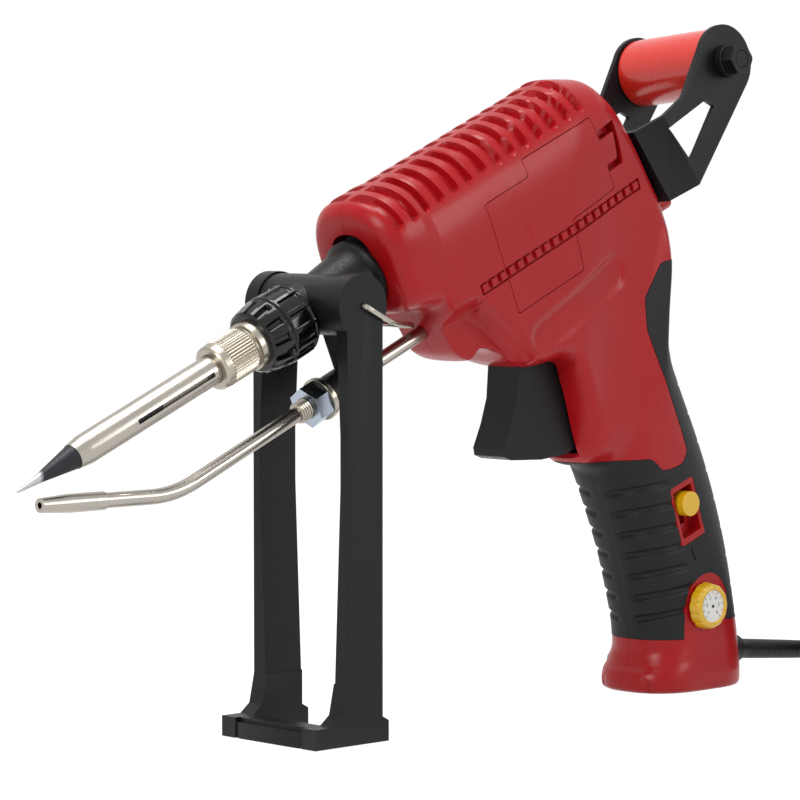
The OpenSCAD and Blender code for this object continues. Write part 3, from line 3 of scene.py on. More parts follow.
import bmesh
import bpy
import numpy as np
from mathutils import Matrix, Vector


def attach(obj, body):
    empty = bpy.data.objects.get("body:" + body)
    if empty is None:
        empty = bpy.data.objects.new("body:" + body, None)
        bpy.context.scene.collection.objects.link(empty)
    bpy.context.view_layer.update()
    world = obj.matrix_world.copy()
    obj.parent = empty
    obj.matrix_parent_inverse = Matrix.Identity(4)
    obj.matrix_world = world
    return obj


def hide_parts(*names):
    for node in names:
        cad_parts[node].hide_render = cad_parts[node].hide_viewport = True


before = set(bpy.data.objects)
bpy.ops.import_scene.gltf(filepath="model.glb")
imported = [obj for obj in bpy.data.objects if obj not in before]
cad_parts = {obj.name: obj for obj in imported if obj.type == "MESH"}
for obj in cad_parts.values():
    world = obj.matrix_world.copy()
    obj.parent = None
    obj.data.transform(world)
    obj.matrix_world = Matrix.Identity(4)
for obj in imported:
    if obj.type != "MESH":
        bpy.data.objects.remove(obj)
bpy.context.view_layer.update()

scene = bpy.context.scene
scene.view_settings.view_transform = "Standard"

# Camera.
# A long lens, a little above the barrel, that looks past the tip along the left side.
MM = 0.001
ORIGIN_X = 31.9137  # of the frame, in mm from the hinge


def placed(name, data):
    """An object in the scene."""
    made = bpy.data.objects.new(name, data)
    scene.collection.objects.link(made)
    return made


view_turn, view_drop = math.radians(43.8), math.radians(3.4)
camera_at = Vector((-654.1, -681.1, 144.3)) * MM
look = Vector((math.sin(view_turn) * math.cos(view_drop), math.cos(view_turn) * math.cos(view_drop),
               -math.sin(view_drop)))
lens = bpy.data.cameras.new("camera")
lens.lens, lens.sensor_width, lens.clip_start = 157.5, 36, 0.01
camera = placed("camera", lens)
camera.location = camera_at
camera.rotation_euler = look.to_track_quat("-Z", "Y").to_euler()
scene.camera = camera


# Mains cord, with its moulded relief, tie and plug.
# Two-core flexible cord in black PVC, extruded smooth; the relief and the plug are moulded on to it.
# Only its start shows in the photograph; the rest lies behind the grip in a tied coil.
CLOUD_SCALE, BUMP, METAL_BUMP = 80, 0.6, 0.1  # clouds of 12.5 mm, and how strongly a grain shades
MERGE, CUT_MERGE = 2e-6, 1e-6  # points closer than this, in metres, become one
TUBE_UP = (0.0, 0.31, 0.95)  # nothing tubular here runs this way, so circles can be set from it


def linear(code):
    """A colour written as sRGB hex, turned to the linear values that a shader takes."""
    c = np.array([int(code[i:i + 2], 16) / 255 for i in (1, 3, 5)])
    return (*np.where(c <= 0.04045, c / 12.92, ((c + 0.055) / 1.055) ** 2.4), 1)


def add(tree, kind, inputs=(), **settings):
    """Adds a node with its settings; inputs pair a socket with its value or the output it comes from."""
    made = tree.nodes.new(kind)
    for key, value in settings.items():
        setattr(made, key, value)
    for socket, value in inputs:
        if isinstance(value, bpy.types.NodeSocket):
            tree.links.new(value, made.inputs[socket])
        else:
            made.inputs[socket].default_value = value
    return made


def blended(tree, factor, a, b):
    """The colour that is a share of the way from one to another."""
    made = add(tree, "ShaderNodeMix", data_type="RGBA")
    for key, value in (("Factor", factor), ("A", a), ("B", b)):
        socket = next(s for s in made.inputs if s.name == key and s.enabled)
        if isinstance(value, bpy.types.NodeSocket):
            tree.links.new(value, socket)
        else:
            socket.default_value = value
    return next(s for s in made.outputs if s.enabled)


def surface(name, colour, roughness, metallic=0, grain=0.5, depth=0.02, tint=0.06, rough_spread=0.05,
            coat=0, edge_highlight=None, specular=0.5):
    """A finish from its colour: a cloudy tint over some 12 mm, and a grain of the given size in mm that
    varies the roughness and stands the given depth in mm; an edge colour, if given, is a painted highlight on
    sharp edges."""
    made = bpy.data.materials.new(name)
    made.use_nodes = True
    tree = made.node_tree
    shader = tree.nodes["Principled BSDF"]
    for key, value in (("Metallic", metallic), ("Coat Weight", coat), ("Specular IOR Level", specular),
                       ("Coat Roughness", 0.12)):
        shader.inputs[key].default_value = value
    at = add(tree, "ShaderNodeTexCoord").outputs["Object"]
    cloud, speck = [
        add(tree, "ShaderNodeTexNoise", [("Vector", at), ("Scale", scale), ("Detail", detail)]).outputs["Fac"]
        for scale, detail in ((CLOUD_SCALE, 3), (1000 / grain / 2, 2))]
    base = np.array(linear(colour))
    dark, light = base * (1 - tint), np.minimum(base * (1 + tint), 1)
    dark[3] = light[3] = 1
    shade = blended(tree, cloud, tuple(dark), tuple(light))
    if edge_highlight:
        # Painted highlight: where the mesh is sharp, by its pointiness, the colour turns towards the lighter
        # edge colour.
        edge = add(tree, "ShaderNodeNewGeometry").outputs["Pointiness"]
        highlit_edge = add(tree, "ShaderNodeMapRange", [("Value", edge), ("From Min", 0.55), ("From Max", 0.66)])
        shade = blended(tree, highlit_edge.outputs["Result"], shade, linear(edge_highlight))
    tree.links.new(shade, shader.inputs["Base Color"])
    rough = add(tree, "ShaderNodeMapRange", [("Value", speck), ("From Min", 0.3), ("From Max", 0.7),
                                             ("To Min", roughness - rough_spread),
                                             ("To Max", roughness + rough_spread)])
    tree.links.new(rough.outputs["Result"], shader.inputs["Roughness"])
    bump = add(tree, "ShaderNodeBump", [("Height", speck), ("Distance", depth * MM),
                                        ("Strength", METAL_BUMP if metallic == 1 else BUMP)])
    tree.links.new(bump.outputs["Normal"], shader.inputs["Normal"])
    return made


def closed(name, points, faces, to_cut=False):
    """An object from points in mm from the hinge and faces as lists of indices, with near points merged and
    normals outwards. One to cut or be cut also loses its slivers, and its large faces become triangles."""
    mesh = bpy.data.meshes.new(name)
    points = (np.asarray(points, float) - [ORIGIN_X, 0, 0]) * MM
    mesh.from_pydata(points.tolist(), [], [list(map(int, f)) for f in faces])
    work = bmesh.new()
    work.from_mesh(mesh)
    bmesh.ops.remove_doubles(work, verts=work.verts, dist=CUT_MERGE if to_cut else MERGE)
    if to_cut:
        bmesh.ops.dissolve_degenerate(work, edges=work.edges, dist=CUT_MERGE)
    bmesh.ops.recalc_face_normals(work, faces=work.faces)
    if to_cut:
        bmesh.ops.triangulate(work, faces=[f for f in work.faces if len(f.verts) > 4])
    work.to_mesh(mesh)
    work.free()
    return placed(name, mesh)


def piece(name, points, faces, body, finish, slot, replaced=(), smooth=35):
    """A closed mesh as a piece of the tool."""
    return dress(closed(name, points, faces), body, finish, replaced, smooth)


def dress(made, body, finish, replaced=(), smooth=35):
    """Gives a piece its finish, shading, body and the CAD nodes that it stands for."""
    made.data.materials.clear()
    made.data.materials.append(finish)
    made.data.shade_smooth()
    made.data.set_sharp_from_angle(angle=math.radians(smooth))
    if body:
        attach(made, body)
    if replaced:
        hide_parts(*replaced)
    return made


def grid_faces(rows, columns, round_rows=False, round_columns=False):
    """Four-sided faces of a grid of points, closed round in either direction."""
    i, j = np.meshgrid(np.arange(rows if round_rows else rows - 1),
                       np.arange(columns if round_columns else columns - 1), indexing="ij")
    a, b = i * columns + j, i * columns + (j + 1) % columns
    c, d = (i + 1) % rows * columns + (j + 1) % columns, (i + 1) % rows * columns + j
    return np.stack([a, b, c, d], -1).reshape(-1, 4).tolist()


def tube(path, radius, sides=16):
    """A round tube: circles square to a path, all set from one fixed direction so that they don't twist, and
    two caps."""
    path = np.asarray(path, float)
    along = np.gradient(path, axis=0)
    along /= np.linalg.norm(along, axis=1)[:, None]
    up = np.cross(along, TUBE_UP)
    up /= np.linalg.norm(up, axis=1)[:, None]
    side = np.cross(along, up)
    angle = np.arange(sides) * 2 * np.pi / sides
    radius = np.broadcast_to(radius, len(path))[:, None, None]
    ring = np.cos(angle)[None, :, None] * up[:, None] + np.sin(angle)[None, :, None] * side[:, None]
    points = (path[:, None] + radius * ring).reshape(-1, 3)
    faces = grid_faces(len(path), sides, round_columns=True)
    last = (len(path) - 1) * sides
    return points, faces + [list(range(sides)), list(range(last, last + sides))]


def curve_through(keys, step):
    """A smooth line through points, in steps of about a length: each stretch is a cubic whose slope at an end
    is half the way from the point before it to the point after."""
    keys = np.asarray(keys, float)
    whole = np.vstack([2 * keys[0] - keys[1], keys, 2 * keys[-1] - keys[-2]])
    out = []
    for a, b, c, d in zip(whole, whole[1:], whole[2:], whole[3:]):
        t = np.linspace(0, 1, max(2, int(np.linalg.norm(c - b) / step) + 1), endpoint=False)[:, None]
        out.append(0.5 * (2 * b + (c - a) * t + (2 * a - 5 * b + 4 * c - d) * t ** 2
                          + (3 * b - a - 3 * c + d) * t ** 3))
    return np.vstack(out + [keys[-1:]])


cord_d, coil_r, coil_layers, coil_gap, cord_step = 4.8, 26, 4, 0.6, 1.5
tail_x, relief_z, relief_droop, relief_l = 162.8, 8.9, math.radians(5.6), 45
coil_pitch, coil_total, coil_low = cord_d + coil_gap, 6.5, 0.85 + cord_d / 2
layer_turns = coil_total / coil_layers
coil_out_r = coil_r + coil_pitch * layer_turns / 2
coil_at = np.array([230, -coil_out_r])
turn_steps, back_steps = 48, 13
turn = np.linspace(0, coil_total, int(turn_steps * coil_total) + 1)
radius = coil_out_r - coil_pitch * (layer_turns - np.abs(layer_turns - turn % (2 * layer_turns)))
rise = sum((1 - np.cos(np.pi * np.clip(2 * (turn - k * layer_turns) + 0.5, 0, 1))) / 2
           for k in range(1, coil_layers))
coil = np.stack([coil_at[0] + radius * np.cos(np.pi / 2 - 2 * np.pi * turn),
                 coil_at[1] + radius * np.sin(np.pi / 2 - 2 * np.pi * turn),
                 coil_low + coil_pitch * rise], 1)
relief_from = np.array([tail_x, 0, relief_z])
relief_way = np.array([math.cos(relief_droop), 0, -math.sin(relief_droop)])
relief_end = relief_from + relief_l * relief_way
start = curve_through([relief_from, (relief_from + relief_end) / 2, relief_end, [212.4, 0, 4.1],
                       [216, 0, 3.7], [220.4, 0, 3.3], coil[0] - [cord_d, 0, 0]], cord_step)
coil_high = coil_low + (coil_layers - 1) * coil_pitch
plug_half_l, plug_half_h, plug_gap = 14, 6.5, 0.05
plug_at = np.array([coil_at[0] - plug_half_l, coil_at[1] + coil_out_r / 7,
                    coil_high + cord_d / 2 + plug_gap + plug_half_h])
tail_r = plug_at[1] / 2 + coil_out_r
back = np.linspace(0, np.pi, back_steps)
tail = np.stack([plug_at[0] - cord_d - tail_r * np.sin(back), plug_at[1] - tail_r - tail_r * np.cos(back),
                 np.linspace(coil_high, plug_at[2], back_steps)], 1)
end = curve_through([coil[-1] - [cord_d, 0, 0], *tail, plug_at], cord_step)
route = np.vstack([start, coil, end])

pvc = surface("extruded_black_pvc", "#111112", 0.42, grain=0.6, depth=0.01, specular=0.25)
moulded_pvc = surface("moulded_black_pvc", "#111112", 0.5, grain=0.4, depth=0.02, specular=0.25)
cord = piece("mains_cord", *tube(route, cord_d / 2), "gun", pvc, "cord_black",
             ["cord_run", "cord_coil", "cord_tail"])

# The relief's radius along its length, with low raised bars on the side that the camera sees.
relief_profile = np.array([
    [-14, 2.95], [-0.1, 2.95], [0, 4.0], [0.25, 4.2], [6.5, 4.2], [6.9, 4.0], [7, 3.75], [9.4, 2.95],
    [12, 2.93], [30, 2.8], [44.4, 2.6], [45, 2.5], [45, 2.42], [43.5, 2.41]])
relief_sides, bar_pitch, bar_height = 40, 2.6, 0.12
station = np.unique(np.concatenate([relief_profile[:, 0], np.linspace(12, 44, 161)]))
relief_at = np.interp(station, relief_profile[:-1, 0], relief_profile[:-1, 1])
around = np.arange(relief_sides) * 2 * np.pi / relief_sides
bars = np.clip(np.sin(2 * np.pi * (station - 12) / bar_pitch) * 3, 0, 1) * (station > 13) * (station < 40)
facing = np.clip(8 * (np.cos(around - np.pi) - 0.9), 0, 1)
relief_r = relief_at[:, None] + bar_height * bars[:, None] * facing[None, :]
out_side, out_up = np.array([0, 1.0, 0]), np.cross(relief_way, [0, 1.0, 0])
relief_points = (relief_from + station[:, None, None] * relief_way
                 + relief_r[..., None] * (np.cos(around)[None, :, None] * out_side
                                          + np.sin(around)[None, :, None] * out_up))
last_ring = (len(station) - 1) * relief_sides
relief = piece("cord_relief", relief_points.reshape(-1, 3),
               grid_faces(len(station), relief_sides, round_columns=True)
               + [list(range(relief_sides)), list(range(last_ring, last_ring + relief_sides))],
               "gun", moulded_pvc, "cord_black", ["strain_relief"])


def softened(node, name, width, finish, body="gun", segments=2):
    """A copy of a node's mesh, merged and with its flat faces joined, its edges rounded by a width in mm."""
    made = placed(name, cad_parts[node].data.copy())
    work = bmesh.new()
    work.from_mesh(made.data)
    bmesh.ops.remove_doubles(work, verts=work.verts, dist=MERGE)
    bmesh.ops.dissolve_limit(work, angle_limit=math.radians(0.5), verts=work.verts, edges=work.edges)
    work.to_mesh(made.data)
    work.free()
    if made.data.has_custom_normals:
        made.data.attributes.remove(made.data.attributes["custom_normal"])
    dress(made, body, finish, [node], 30)
    bevel = made.modifiers.new("rounded_edges", "BEVEL")
    bevel.width, bevel.segments, bevel.limit_method = width * MM, segments, "ANGLE"
    bevel.angle_limit, bevel.harden_normals, bevel.use_clamp_overlap = math.radians(30), True, True
    return made


plug = softened("plug_body", "plug_moulding", 1.2, moulded_pvc, "gun", 3)
tie = softened("cord_tie", "coil_tie", 0.2, moulded_pvc)
nickel = surface("bright_nickel_plate", "#A8A194", 0.26, metallic=1, grain=5, depth=0.004, tint=0.04)
pins = softened("plug_pins", "plug_blades", 0.35, nickel)


# Housing: two shells that meet in a seam along the top, front and back.
# Injection-moulded ABS in a deep red, satin, with a lighter highlight painted along its edges.
# One loft runs from the front face along the barrel and down the grip to the foot.
pivot_h, tilt = 114.8, math.radians(23.9)


def stance(u, w):
    """From the barrel's own lines, along and across it, to the hinge's level ones."""
    return np.stack([np.asarray(u) * math.cos(tilt) - np.asarray(w) * math.sin(tilt),
                     pivot_h + np.asarray(u) * math.sin(tilt) + np.asarray(w) * math.cos(tilt)], -1)


def in_barrel(x, z):
    """The other way, from level lines to the barrel's."""
    return (x * math.cos(tilt) + (z - pivot_h) * math.sin(tilt),
            -x * math.sin(tilt) + (z - pivot_h) * math.cos(tilt))


def eased(at, keys, values):
    """Values between keys on cubic stretches, with the harmonic mean of both sides' slopes at a key, so that
    they never overshoot."""
    keys, values = np.asarray(keys, float), np.asarray(values, float)
    h = np.diff(keys)[:, None]
    d = np.diff(values, axis=0) / h
    w1, w2 = 2 * h[1:] + h[:-1], h[1:] + 2 * h[:-1]
    same = d[:-1] * d[1:] > 0
    safe = np.where(same, d[:-1], 1), np.where(same, d[1:], 1)
    inner = np.where(same, (w1 + w2) / (w1 / safe[0] + w2 / safe[1]), 0)
    slope = np.vstack([d[:1], inner, d[-1:]])
    i = np.clip(np.searchsorted(keys, at, side="right") - 1, 0, len(keys) - 2)
    t = ((at - keys[i]) / (keys[i + 1] - keys[i]))[:, None]
    g = (keys[i + 1] - keys[i])[:, None]
    return ((2 * t ** 3 - 3 * t ** 2 + 1) * values[i] + (t ** 3 - 2 * t ** 2 + t) * g * slope[i]
            + (3 * t ** 2 - 2 * t ** 3) * values[i + 1] + (t ** 3 - t ** 2) * g * slope[i + 1])


def step(v, low, high):
    """0 below low, 1 above high and a smooth cubic between them."""
    t = np.clip((v - low) / (high - low), 0, 1)
    return t * t * (3 - 2 * t)


# Rungs from the lower or front outline to the upper or rear one. The first set lies along the barrel (u, w)
# at both ends, the second level (x, z) below and along the barrel above, the third level at both ends.
# Then the half width at each end, and how far the rounding reaches in from each end.
barrel_rungs = [
    (17.5, -3, 17.5, 9, 4, 4, 6, 6), (17.5, -9.9, 17.5, 15.9, 12, 11.6, 7, 12),
    (17.8, -10.8, 17.8, 17.6, 13.8, 13, 7, 15), (19.4, -12, 19.4, 19.5, 15.6, 14.8, 7, 19),
    (22, -13, 22, 20.4, 16.8, 16.4, 7, 22),
    (26, -14.2, 27, 20.6, 17.1, 17.2, 7, 24), (29.6, -15.6, 30.5, 20.6, 17.2, 17.2, 7, 24),
    (31.8, -21.5, 32.5, 20.6, 17.2, 17.2, 7, 24), (34.4, -31.5, 35, 20.6, 17.2, 17.2, 7, 24),
    (38.3, -35.2, 38.5, 20.6, 17.2, 17.2, 7, 24), (44, -34.2, 44, 20.6, 17.2, 17.2, 6, 24),
    (48.5, -37.2, 48.5, 20.6, 17.2, 17.2, 6, 24), (53, -42.8, 53, 20.6, 17, 17.2, 6, 24),
    (57.5, -46.4, 57, 20.6, 16.6, 17.2, 6, 24), (61.5, -47.7, 63, 20.6, 16.4, 17.2, 6, 24)]
fan_rungs = [
    (80.5, 97.0, 73, 20.6, 16.2, 17.2, 6, 24), (84.4, 96.2, 84, 20.6, 16.2, 17.2, 7, 24),
    (86.3, 92, 95, 20.6, 16, 17.2, 10, 24), (88.0, 87.5, 103.8, 20.6, 15.8, 16.8, 12, 23),
    (89.6, 82.5, 111.1, 17.6, 15.4, 16.3, 13, 20), (91.2, 77, 116.3, 11.6, 15, 15.4, 14, 16),
    (92.6, 73, 119.4, 2, 14.6, 14.8, 14, 12), (93.7, 70.3, 121.7, -11, 14.4, 14.4, 13, 9),
    (97.0, 67.3, 123.8, -23, 14.2, 14.8, 13, 10)]
grip_rungs = [
    (103.0, 66.2, 124.7, 138.4, 14, 16, 15, 13), (105.9, 64.4, 125.9, 132, 14, 16.6, 18, 16),
    (107.6, 61.3, 125.5, 124, 14, 16.8, 20, 19), (110.3, 56, 125.2, 113, 14, 16.7, 21, 21),
    (112.8, 50, 127.4, 104, 13.9, 16.4, 22, 23), (115.4, 43.5, 132.6, 94, 13.9, 15.9, 22, 24),
    (117.9, 36, 139.6, 82, 13.8, 15.3, 22, 24), (119.8, 29, 146.2, 69.6, 13.8, 14.6, 21, 23),
    (121.4, 22, 152, 56.5, 13.8, 14.1, 21, 22), (122.5, 16, 157.2, 41, 13.9, 13.9, 20, 20),
    (122.8, 11.5, 160.4, 27, 14, 13.8, 18, 18), (121.6, 7.6, 162.3, 15, 14.6, 13.8, 16, 16),
    (119.9, 5.4, 162.8, 8, 15.1, 14.4, 16, 16), (119.4, 3.2, 162.8, 4.5, 15.2, 14.8, 16, 16),
    (119.6, 1.2, 162.7, 1.6, 15.1, 14.8, 16, 16), (120.4, 0.3, 162.2, 0.3, 14.6, 14.4, 16, 16),
    (121.4, 0, 161.2, 0, 13.8, 13.6, 16, 16), (138, 0, 146, 0, 2, 2, 4, 4)]
rungs = np.array([(*stance(a, b), *stance(c, d), *rest) for a, b, c, d, *rest in barrel_rungs]
                 + [(a, b, *stance(c, d), *rest) for a, b, c, d, *rest in fan_rungs] + grip_rungs)
reach = (np.linalg.norm(np.diff(rungs[:, :2], axis=0), axis=1)
         + np.linalg.norm(np.diff(rungs[:, 2:4], axis=0), axis=1))
least_gap = 0.4
rung_at = np.concatenate([[0], np.cumsum(reach / 2 + least_gap)])

chin_half, chin_flare, chin_end = 8.6, 9.4, 66
vent_count, vent_first, vent_pitch, vent_half, vent_depth, vent_foot = 14, 22.9, 5.95, 1.55, 1.9, 11.3
strip_from, strip_to, strip_at, strip_half, strip_depth = 42.5, 114.1, -15.5, 1.7, 0.9
square_count, square_half = 19, 1.05
rest_at, rest_way, rest_half, rest_r = (76.8, -36.2), (0.995, 0.105), (22.5, 5.6), 5.5
groove_count, groove_first, groove_pitch, groove_depth = 7, 20.5, 6.4, 0.9
squareness, edge_share, blend = 2.4, 0.47, 1.2


def side_limit(u, w):
    """Half width that the chin leaves: least below a fold that runs down and back from the strip's end."""
    fold = np.interp(u, [0, 30, 41, 46, 51, 57, 60], [-17, -17, -18, -24, -33, -45, -60])
    return chin_half + chin_flare * step(w - fold, -5.5, 3.0)


def rounded_box(u, w, half_u, half_w, r):
    """Distance outside a box with rounded corners, centred on nothing: negative inside."""
    a, b = np.abs(u) - half_u + r, np.abs(w) - half_w + r
    return np.hypot(np.maximum(a, 0), np.maximum(b, 0)) + np.minimum(np.maximum(a, b), 0) - r


def carving(u, w):
    """How deep the sides are carved below the smooth loft, in mm: the channel down to the chin, the finger
    rest and the step along the lower body."""
    channel_w = np.interp(u, [36, 40, 43, 47, 52, 57], [-37, -24, -17.5, -24, -33, -44])
    channel = 0.5 * step(2.6 - np.abs(w - channel_w + 1.5), 0, 1.2) * (u > 41) * (u < 56) * (w < -17)
    a = (u - rest_at[0]) * rest_way[0] + (w - rest_at[1]) * rest_way[1]
    b = -(u - rest_at[0]) * rest_way[1] + (w - rest_at[1]) * rest_way[0]
    rest = rounded_box(a, b, *rest_half, rest_r)
    hollow = 0.7 * step(-rest, -0.3, 2.4) * step(b, -9, 5)
    return channel + hollow + 0.5 * step(-rest, -0.3, 2.0) * step(a, -18, 16)


def loft(inward=0, rows=520, columns=170, detail=True, past_seam=None, proud=0, grooves=False):
    """Right half of the housing as a closed solid, drawn in by a distance. Across a rung the half width rises
    from each end as a superellipse, (1 - (1 - s/e)^p)^(1/p), and is straight between the two roundings.
    detail cuts the vents and carvings, past_seam carries the flat side on to a y, proud raises the surface
    and grooves cuts those of the grip."""
    r = eased(rung_at[0] + (rung_at[-1] - rung_at[0]) * np.linspace(0, 1, rows), rung_at, rungs)
    low, high = r[:, :2], r[:, 2:4]
    span = np.linalg.norm(high - low, axis=1)
    way = (high - low) / span[:, None]
    low, high = low + way * inward, high - way * inward
    if inward:
        low[:, 1] = np.maximum(low[:, 1], inward)
        high[:, 1] = np.maximum(high[:, 1], inward)
    span = np.linalg.norm(high - low, axis=1)[:, None]
    edge_low = np.minimum(r[:, 6:7], span * edge_share)
    edge_high = np.minimum(r[:, 7:8], span * edge_share)
    n = columns // 3
    theta = np.linspace(0, np.pi / 2, n)[None, :]
    flat_share = np.linspace(0, 1, columns - 2 * n + 2)[None, 1:-1]
    s = np.concatenate([edge_low * (1 - np.cos(theta) ** (2 / squareness)),
                        edge_low + (span - edge_low - edge_high) * flat_share,
                        span - edge_high * (1 - np.cos(theta[:, ::-1]) ** (2 / squareness))], 1)
    lift = np.concatenate([np.sin(theta) ** (2 / squareness) * np.ones_like(span),
                           np.ones((rows, columns - 2 * n)),
                           np.sin(theta[:, ::-1]) ** (2 / squareness) * np.ones_like(span)], 1)
    share = s / span
    half = (r[:, 4:5] * (1 - share) + r[:, 5:6] * share - inward) * lift
    x = low[:, 0:1] + s * way[:, 0:1]
    z = low[:, 1:2] + s * way[:, 1:2]
    u, w = in_barrel(x, z)
    limit = side_limit(u, w) - inward
    narrowed, inside = -np.logaddexp(-half * blend, -limit * blend) / blend, step(half, 0, 4)
    half = np.maximum(np.where(u < chin_end, narrowed * inside + half * (1 - inside), half), 0)
    points = np.stack([x, half, z], -1)
    if detail or grooves or proud:
        du, dv = np.gradient(points, axis=0), np.gradient(points, axis=1)
        normal = np.cross(du, dv)
        normal /= np.linalg.norm(normal, axis=2)[..., None] + 1e-9
        if normal[rows // 4, columns // 2, 1] < 0:
            normal = -normal
        push = np.full(u.shape, float(proud))
        if detail:
            cell = (u - vent_first + vent_pitch / 2) % vent_pitch - vent_pitch / 2
            count = np.floor((u - vent_first + vent_pitch / 2) / vent_pitch)
            foot = vent_foot + count / vent_count
            below = np.maximum(foot + vent_half - w, 0)
            slot = vent_half - np.hypot(cell, below)
            open_at = (count >= 0) & (count < vent_count) & (w > 6)
            vent = step(slot, -0.1, 0.35) * open_at * step(half, 0.9, 1.9)
            push -= vent_depth * vent
            side = step(half, 9, 11) * (1 - vent)
            push -= carving(u, w) * side * (w < 4)
        if grooves:
            level = z - 0.12 * (x - 120) - (half / 14) * 2.0
            front = 1 - step(share, 0.34, 0.42)
            for k in range(groove_count):
                from_middle = np.abs(level - (groove_first + groove_pitch * k))
                push -= groove_depth * step(1.3 - from_middle, 0, 0.9) * front * step(half, 2.2, 4.0)
            rear = step(share, 0.86, 0.9)
            push -= 0.25 * step(0.7 - np.abs((z % 8.5) - 4), 0, 0.7) * rear * (z < 110)
        points = points + normal * push[..., None]
        points[..., 1] = np.maximum(points[..., 1], 0)
        points[:, 0, 1] = points[:, -1, 1] = 0
    flat = points.reshape(-1, 3)
    faces = grid_faces(rows, columns)
    seam_low = np.arange(rows) * columns
    seam_high = seam_low + columns - 1
    if past_seam is None:
        flat[:, 1] = np.maximum(flat[:, 1], 0) + 0.05
        faces += [list(range(columns)), list(range((rows - 1) * columns, rows * columns)),
                  seam_low.tolist() + seam_high[::-1].tolist()]
    else:
        extra = flat[np.concatenate([seam_low, seam_high])].copy()
        extra[:, 1] = past_seam
        first = len(flat)
        flat = np.vstack([flat, extra])
        for i in range(rows - 1):
            faces += [[seam_low[i], seam_low[i + 1], first + i + 1, first + i],
                      [seam_high[i], seam_high[i + 1], first + rows + i + 1, first + rows + i]]
        for i in (0, rows - 1):
            faces += [list(range(i * columns, (i + 1) * columns)) + [first + rows + i, first + i]]
        faces += [list(range(first, first + rows)) + list(range(first + 2 * rows - 1, first + rows - 1, -1))]
    return flat, faces


def raw(name, points, faces, mirrored=False):
    """A closed mesh to cut or be cut; mirrored puts it on the left."""
    return closed(name, np.asarray(points) * [1, -1 if mirrored else 1, 1], faces, to_cut=True)


def prism(outline, y0, y1):
    """A block with the given outline in level x and z, from one y to another."""
    outline = np.asarray(outline, float)
    n = len(outline)
    points = np.concatenate([np.insert(outline, 1, y, axis=1) for y in (y0, y1)])
    sides = [[i, (i + 1) % n, n + (i + 1) % n, n + i] for i in range(n)]
    return points, [list(range(n)), list(range(n, 2 * n))] + sides


def rod(start, along, length, radius, sides=48):
    """A round bar from a point along a direction."""
    start, along = np.asarray(start, float), np.asarray(along, float)
    return tube([start, start + along * length], radius, sides)


def carved(solid, within=(), cuts=()):
    """The solid kept within some pieces and cut by others, with Blender's manifold solver."""
    for kind, others in (("INTERSECT", within), ("DIFFERENCE", cuts)):
        for other in others:
            cut = solid.modifiers.new("cut", "BOOLEAN")
            cut.operation, cut.object, cut.solver = kind, other, "MANIFOLD"
    depsgraph = bpy.context.evaluated_depsgraph_get()
    depsgraph.update()
    mesh = bpy.data.meshes.new_from_object(solid.evaluated_get(depsgraph))
    solid.modifiers.clear()
    solid.data = mesh
    return solid


def box_corners(a0, a1, b0, b1):
    """The corners of a rectangle, anticlockwise."""
    return [(a0, b0), (a1, b0), (a1, b1), (a0, b1)]


def turned_outline(at, w, l, turn):
    """A rectangle round a point in level x and z, turned by an angle in degrees."""
    c, s = math.cos(math.radians(turn)), math.sin(math.radians(turn))
    return [(at[0] + a * c - b * s, at[1] + a * s + b * c)
            for a, b in box_corners(-w / 2, w / 2, -l / 2, l / 2)]


def round_corners(outline, radius, steps=5):
    """An outline whose corners are arcs: each corner is a quadratic curve between points a radius away."""
    p = np.asarray(outline, float)
    out = []
    for i in range(len(p)):
        a, b, c = p[i - 1], p[i], p[(i + 1) % len(p)]
        la, lc = np.linalg.norm(a - b), np.linalg.norm(c - b)
        r = min(radius, 0.45 * la, 0.45 * lc)
        s, e = b + (a - b) / la * r, b + (c - b) / lc * r
        for t in np.linspace(0, 1, steps + 1):
            out.append((1 - t) ** 2 * s + 2 * t * (1 - t) * b + t * t * e)
    return np.array(out)


grip_front, grip_l, grip_h = 119.4, 43.4, 112
body_from, body_l, body_half = 17.5, 104, 20
rubber_shares = np.array([
    [-0.8, 0.1375], [1.2, 0.1375], [1.2, 1.12], [0.1, 1.12], [-0.01, 1.11], [-0.15, 1.02], [-0.135, 0.94],
    [-0.035, 0.855], [0.097, 0.762], [0.23, 0.665], [0.272, 0.625], [0.22, 0.594], [0.124, 0.584],
    [0.025, 0.58], [-0.03, 0.6], [-0.08, 0.612], [-0.45, 0.607], [-0.8, 0.603]])
rubber_zone = rubber_shares * [grip_l, grip_h] + [grip_front, 0]
trigger_at = stance(body_from + 0.4437 * body_l, -2.139 * body_half)
trigger_h = 36.5
pocket = trigger_at + trigger_h * np.array([
    [-0.162, -1.135], [0.452, -1.135], [0.534, -0.844], [0.78, -0.844], [0.78, -0.068], [0.512, 0.227],
    [-0.096, 0.227], [-0.162, -0.068]])
cover_uw, latch_uw, latch_pocket_uw = [
    np.array(shares) * [body_l, body_half] + [body_from, 0] for shares in (
        [[0.343, -1.38], [0.62, -1.38], [0.632, -0.64], [0.825, -0.62], [0.81, 0.5], [0.525, 0.5],
         [0.521, 0.255], [0.343, 0.25]],
        [[0.8, -0.25], [0.865, -0.25], [0.877, 0.13], [0.8, 0.13]],
        [[0.815, -0.36], [0.886, -0.36], [0.896, 0.27], [0.815, 0.27]])]
dial_at, dial_hole_r = (139.71, 24.75), 3.3
arch_at, arch_r = (141.5, 24.75), 9.35
switch_at, switch_turn, switch_hole, switch_plate = (131.81, 52.64), 20, (9, 15.2), (10.5, 18.1)
panel_x, panel_z = grip_front + 0.29 * grip_l, 0.177 * grip_h


